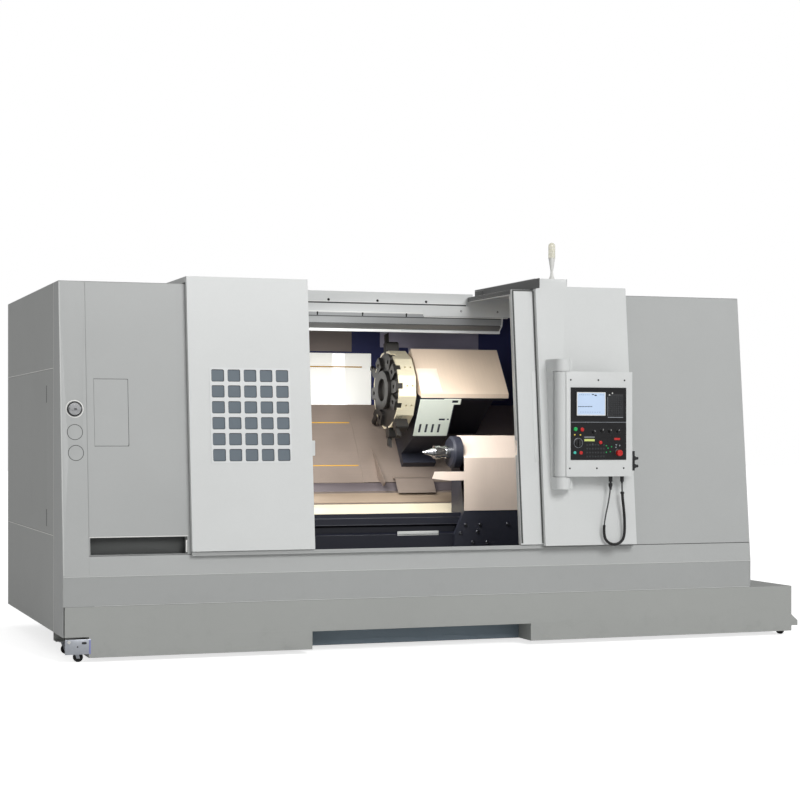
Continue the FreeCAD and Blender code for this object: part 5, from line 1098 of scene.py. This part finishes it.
# ------------------------------------------------------------------ inside the working space
@dataclass
class WorkingSpace:
    """Bed, covers and lining, with their wiper strips, painted highlights on the bed's edges and the back wall's
    panel glowing as painted light.
    """

    bed_y: float = 819.95                     # just in front of the bed's face
    folds: tuple[tuple[Place, Place], ...] = (                # y, z of each step's upper and lower edge
        ((1285.0, 1043.0), (1243.0, 981.0)), ((1203.0, 972.0), (1158.0, 905.0)), ((1110.0, 898.0), (1052.0, 818.0)))

    def build(self) -> None:
        """Dresses the inside and adds its strips and lights."""
        dress_nodes({"bed_casting": BEDDING, "headstock_casting": CASTING, "chip_slope": COVER,
                     "middle_way_cover": COVER, "saddle": CASTING, "saddle_cover": COVER,
                     "z_ballscrew": DARK_STEEL, "spindle_motor": MOTOR, "levelling_feet": ZINC,
                     "spindle": STEEL, "chuck_body": STEEL, "chuck_jaw_1": DARK_STEEL,
                     "chuck_jaw_2": DARK_STEEL, "chuck_jaw_3": DARK_STEEL})
        self.wall_sheets()
        self.wiper_strips()
        self.slope_steps()
        self.bed_details()

    def wall_sheets(self) -> None:
        """White panel of the back wall glowing as painted light, a brighter band on it as a painted reflection, its
        yellow strip, and the brown and grey sheets.
        """
        for name, finish, slot, depth, plates in (
                ("back_light_panel", LIT_PANEL, "lining", 4.0, [((1905, 1776, 1790), 1290, 380)]),
                ("back_light_band", LIT_BAND, "lining", 1.5, [((2300, 1771.8, 1790), 92, 374)]),
                ("back_wall_strip", WIPER, "stainless", 3.0, [((1880, 1769.8, 1880), 1200, 9)]),
                ("back_brown_sheet", WALL_BROWN, "lining", 3.0, [((1840, 1776, 2128), 1120, 270)]),
                ("back_grey_sheet", GREY_SHEET, "lining", 5.0,
                 [((3010, 1776, 2086), 780, 116), ((3120, 1776, 2006), 560, 44)])):
            trim(name, finish, Facing.FRONT, depth, plates)

    def wiper_strips(self) -> None:
        """Yellow strips along the fixed way cover and along the middle one, which slides over it."""
        for name, body, x, width, lift in (("fixed", "machine", 1526, 536, -0.1),
                                           ("middle", "middle_cover", 2080, 480, 3.2)):
            rows = [((x, *on_slant(s, lift)), width, 8) for s in (519, 146)]
            trim(name + "_cover_strips", WIPER, Facing.COVER, 0.3, rows, body)

    def slope_steps(self) -> None:
        """Tones of the chip slope's three steps: grey, tan and bright cream, as thin plates over its faces."""
        for k, (finish, fold) in enumerate(zip((SLOPE_GREY, SLOPE_TAN, SLOPE_CREAM), self.folds), 1):
            upper, lower = np.array(fold)
            width = float(np.linalg.norm(upper - lower))
            up = (upper - lower) / width
            y, z = (upper + lower) / 2 + 0.3 * np.array((-up[1], up[0]))
            trim("slope_step_%d" % k, finish, Facing.COVER, 0.8, [((2510, y, z), 2500, width - 3)])

    def bed_details(self) -> None:
        """Painted highlights as lighter lines along the bed's front edges, and the way bar below the tailstock, its
        brightness painted as a highlight.
        """
        edges = [((2800, self.bed_y, z), 2180, height) for z, height in ((811, 5), (767, 3), (697, 3))]
        # Lighter lines on the bed's edges: painted highlights.
        trim("bed_edge_highlights", DARK_STEEL, Facing.FRONT, 0.2, edges)
        # A real way bar, its brightness painted on as a pale highlight.
        trim("bed_bar", PALE_HIGHLIGHT, Facing.FRONT, 0.2, [((2573, self.bed_y, 704.5), 301, 30)])


# ------------------------------------------------------------------ turret and tailstock
@dataclass
class Turret:
    """Cross slide, turret head with its covers, the disc and its tools."""

    hub: Point = (2474.0, 1206.8, 1698.4)     # middle of the disc's left face

    def build(self) -> None:
        """Dresses the cross slide and the turret."""
        dress_nodes({"turret_head": CASTING})
        rolled("turret_cover", 1.5, STAINLESS)
        rolled("slotted_guard", 0.8, SLOTTED)
        dress_nodes({"turret_disc": RIM, "tool_holders": TOOLING})
        face = turned([(0, -0.6), (260, -0.6), (260, 0.8), (135.8, 0.8), (135.8, 34.8), (80.2, 34.8),
                       (80.2, 13.4), (0, 13.4)], 56)          # rim, boss and recess
        shown("disc_face", TOOLING, placed(face, [self.hub], Facing.LEFT), "turret")
        trim("cover_plate", CREAM, Facing.COVER, 1.4, [((2706, *on_slant(406, 678.4)), 155, 202)],
             "cross_slide")


@dataclass
class Tailstock:
    """Tailstock body, its stainless cover, quill and live centre."""

    foot_y: float = 785.0
    bolts: tuple[Place, ...] = ((2910.0, 757.0), (3018.0, 759.0), (3225.0, 759.0), (2873.0, 702.0),
                                (3000.0, 710.0), (2964.0, 638.0), (3071.0, 636.0))

    def build(self) -> None:
        """Dresses the tailstock and adds the bolts of its foot."""
        # Its cover's stainless is brightened as painted light.
        rolled("tailstock_cover", 1.5, LIT_TAIL_COVER)
        dress_nodes({"tailstock_body": CASTING, "quill": STEEL, "live_centre": CHROME})
        shown("tail_foot_bolts", DARK_STEEL,
              placed(screw_head(13, 9), [(x, self.foot_y, z) for x, z in self.bolts], Facing.FRONT), "tailstock")


# ------------------------------------------------------------------ tank
@dataclass
class CoolantTank:
    """Roll-out tank with its casters."""

    plate_y: float = -1.0                     # front of the left caster's bracket plate

    def build(self) -> None:
        """Dresses the tank, the forks and the wheels."""
        rolled("coolant_tank", 1.6, TANK)
        for site in ("front_left", "rear_left", "front_right", "rear_right"):
            dress_nodes({"caster_fork_" + site: ZINC, "caster_wheel_" + site: TYRE})
        self.bracket_plate()
        trim("toe_lining", TOE, Facing.FRONT, 1.5, [((2317, 197, 87), 1488, 108)], "tank")

    def bracket_plate(self) -> None:
        """Zinc bracket plate in front of the left caster, with its bolt, oval eye, hole and blue edge strip."""
        trim("caster_plate", ZINC, Facing.FRONT, 5.0, [((90.5, 4, 99), 157, 92)], "tank")
        for name, finish, grid, (x, z) in (
                ("caster_plate_bolt", WHITE, screw_head(10, 7), (36, 128)),
                ("caster_plate_eye", BLACK, slab(30, 14, 2.4, 7, 1), (128, 122)),
                ("caster_plate_hole", BLACK, slab(9, 9, 1.2, 4.5, 0.5), (88, 100))):
            shown(name, finish, placed(grid, [(x, self.plate_y, z)], Facing.FRONT), "tank")
        trim("caster_plate_strip", BLUE_ZINC, Facing.FRONT, 1.6, [((163, self.plate_y - 0.2, 99), 9, 88)],
             "tank")


# ------------------------------------------------------------------ studio
@dataclass
class Studio:
    """Floor, soft light and the camera at the photograph's viewpoint, in metres and degrees."""

    camera_at: Point = (-4.3845, -12.527, 1.383)
    yaw: float = 19.35
    lens: float = 84.87
    rise: float = 0.0434
    sky: float = 0.42
    floor_glow: float = 0.74
    floor_reach: float = 60.0

    def build(self) -> None:
        """Makes the floor, the world, the lamps and the camera."""
        scene = bpy.context.scene
        scene.view_settings.view_transform = "Standard"
        self.floor()
        self.world(scene)
        self.lamp("key", (2.2, -15.0, 9.0), (0.3, 0.0, 1.0), 6.0, 1180.0)
        self.lamp("inside", (-0.9, -0.71, 2.0), (-0.1, 0.2, 1.1), 0.5, 9.5, 104.0)
        self.lamp("inside right", (-0.1, -0.78, 1.95), (0.70, -0.2, 1.30), 0.35, 4.4, 100.0)
        data = bpy.data.cameras.new("camera")
        data.lens, data.shift_y, data.clip_end = self.lens, self.rise, 200.0
        camera = bpy.data.objects.new("camera", data)
        camera.location = self.camera_at
        camera.rotation_euler = (math.pi / 2, 0.0, -math.radians(self.yaw))
        scene.collection.objects.link(camera)
        scene.camera = camera

    def floor(self) -> None:
        """Pale floor that keeps the machine's shadow and shows white to the camera elsewhere."""
        reach = self.floor_reach
        corners = [(x * reach, y * reach, 0.0) for x, y in ((-1, -1), (1, -1), (1, 1), (-1, 1))]
        mesh = bpy.data.meshes.new("floor")
        mesh.from_pydata(corners, [], [(0, 1, 2, 3)])
        floor = bpy.data.objects.new("floor", mesh)
        bpy.context.scene.collection.objects.link(floor)
        made = bpy.data.materials.new("pale floor")
        made.use_nodes = True
        tree = made.node_tree
        shader = tree.nodes["Principled BSDF"]
        shader.inputs["Base Color"].default_value = (0.86, 0.86, 0.86, 1)
        shader.inputs["Roughness"].default_value = 0.9
        shader.inputs["Emission Color"].default_value = (1, 1, 1, 1)
        seen = node(tree, "LightPath").outputs["Is Camera Ray"]
        tree.links.new(arithmetic(tree, "MULTIPLY", seen, self.floor_glow), shader.inputs["Emission Strength"])
        mesh.materials.append(made)

    def world(self, scene: bpy.types.Scene) -> None:
        """Even sky: white to the camera, softer as light."""
        world = bpy.data.worlds.new("studio")
        scene.world = world
        world.use_nodes = True
        tree = world.node_tree
        sky = tree.nodes["Background"]
        sky.inputs["Color"].default_value = (1, 1, 1, 1)
        seen = arithmetic(tree, "MAXIMUM", node(tree, "LightPath").outputs["Is Camera Ray"], self.sky)
        tree.links.new(seen, sky.inputs["Strength"])

    def lamp(self, name: str, place: Point, aim: Point, size: float, power: float, spread: float = 180.0) -> None:
        """Square area lamp at a place, turned towards a point, its light held within the spread in degrees."""
        data = bpy.data.lights.new(name, "AREA")
        data.shape, data.size, data.energy = "SQUARE", size, power
        data.spread = math.radians(spread)
        lamp = bpy.data.objects.new(name, data)
        lamp.location = place
        lamp.visible_camera = False
        lamp.rotation_mode = "QUATERNION"
        lamp.rotation_quaternion = (Vector(aim) - Vector(place)).to_track_quat("-Z", "Y")
        bpy.context.scene.collection.objects.link(lamp)


def main() -> None:
    """Builds every sub-assembly, then the studio."""
    logging.basicConfig(level=logging.INFO, format="%(name)s: %(message)s")
    parts = (ControlPanel(), Cabinet(), SlidingDoor("left_door", 923.0), SlidingDoor("right_door", 3102.0, plain=1),
             Housing(), WorkingSpace(), Turret(), Tailstock(), CoolantTank(), Studio())
    for part in parts:
        part.build()
        log.info("%s done", type(part).__name__)


if __name__ == "__main__":
    main()
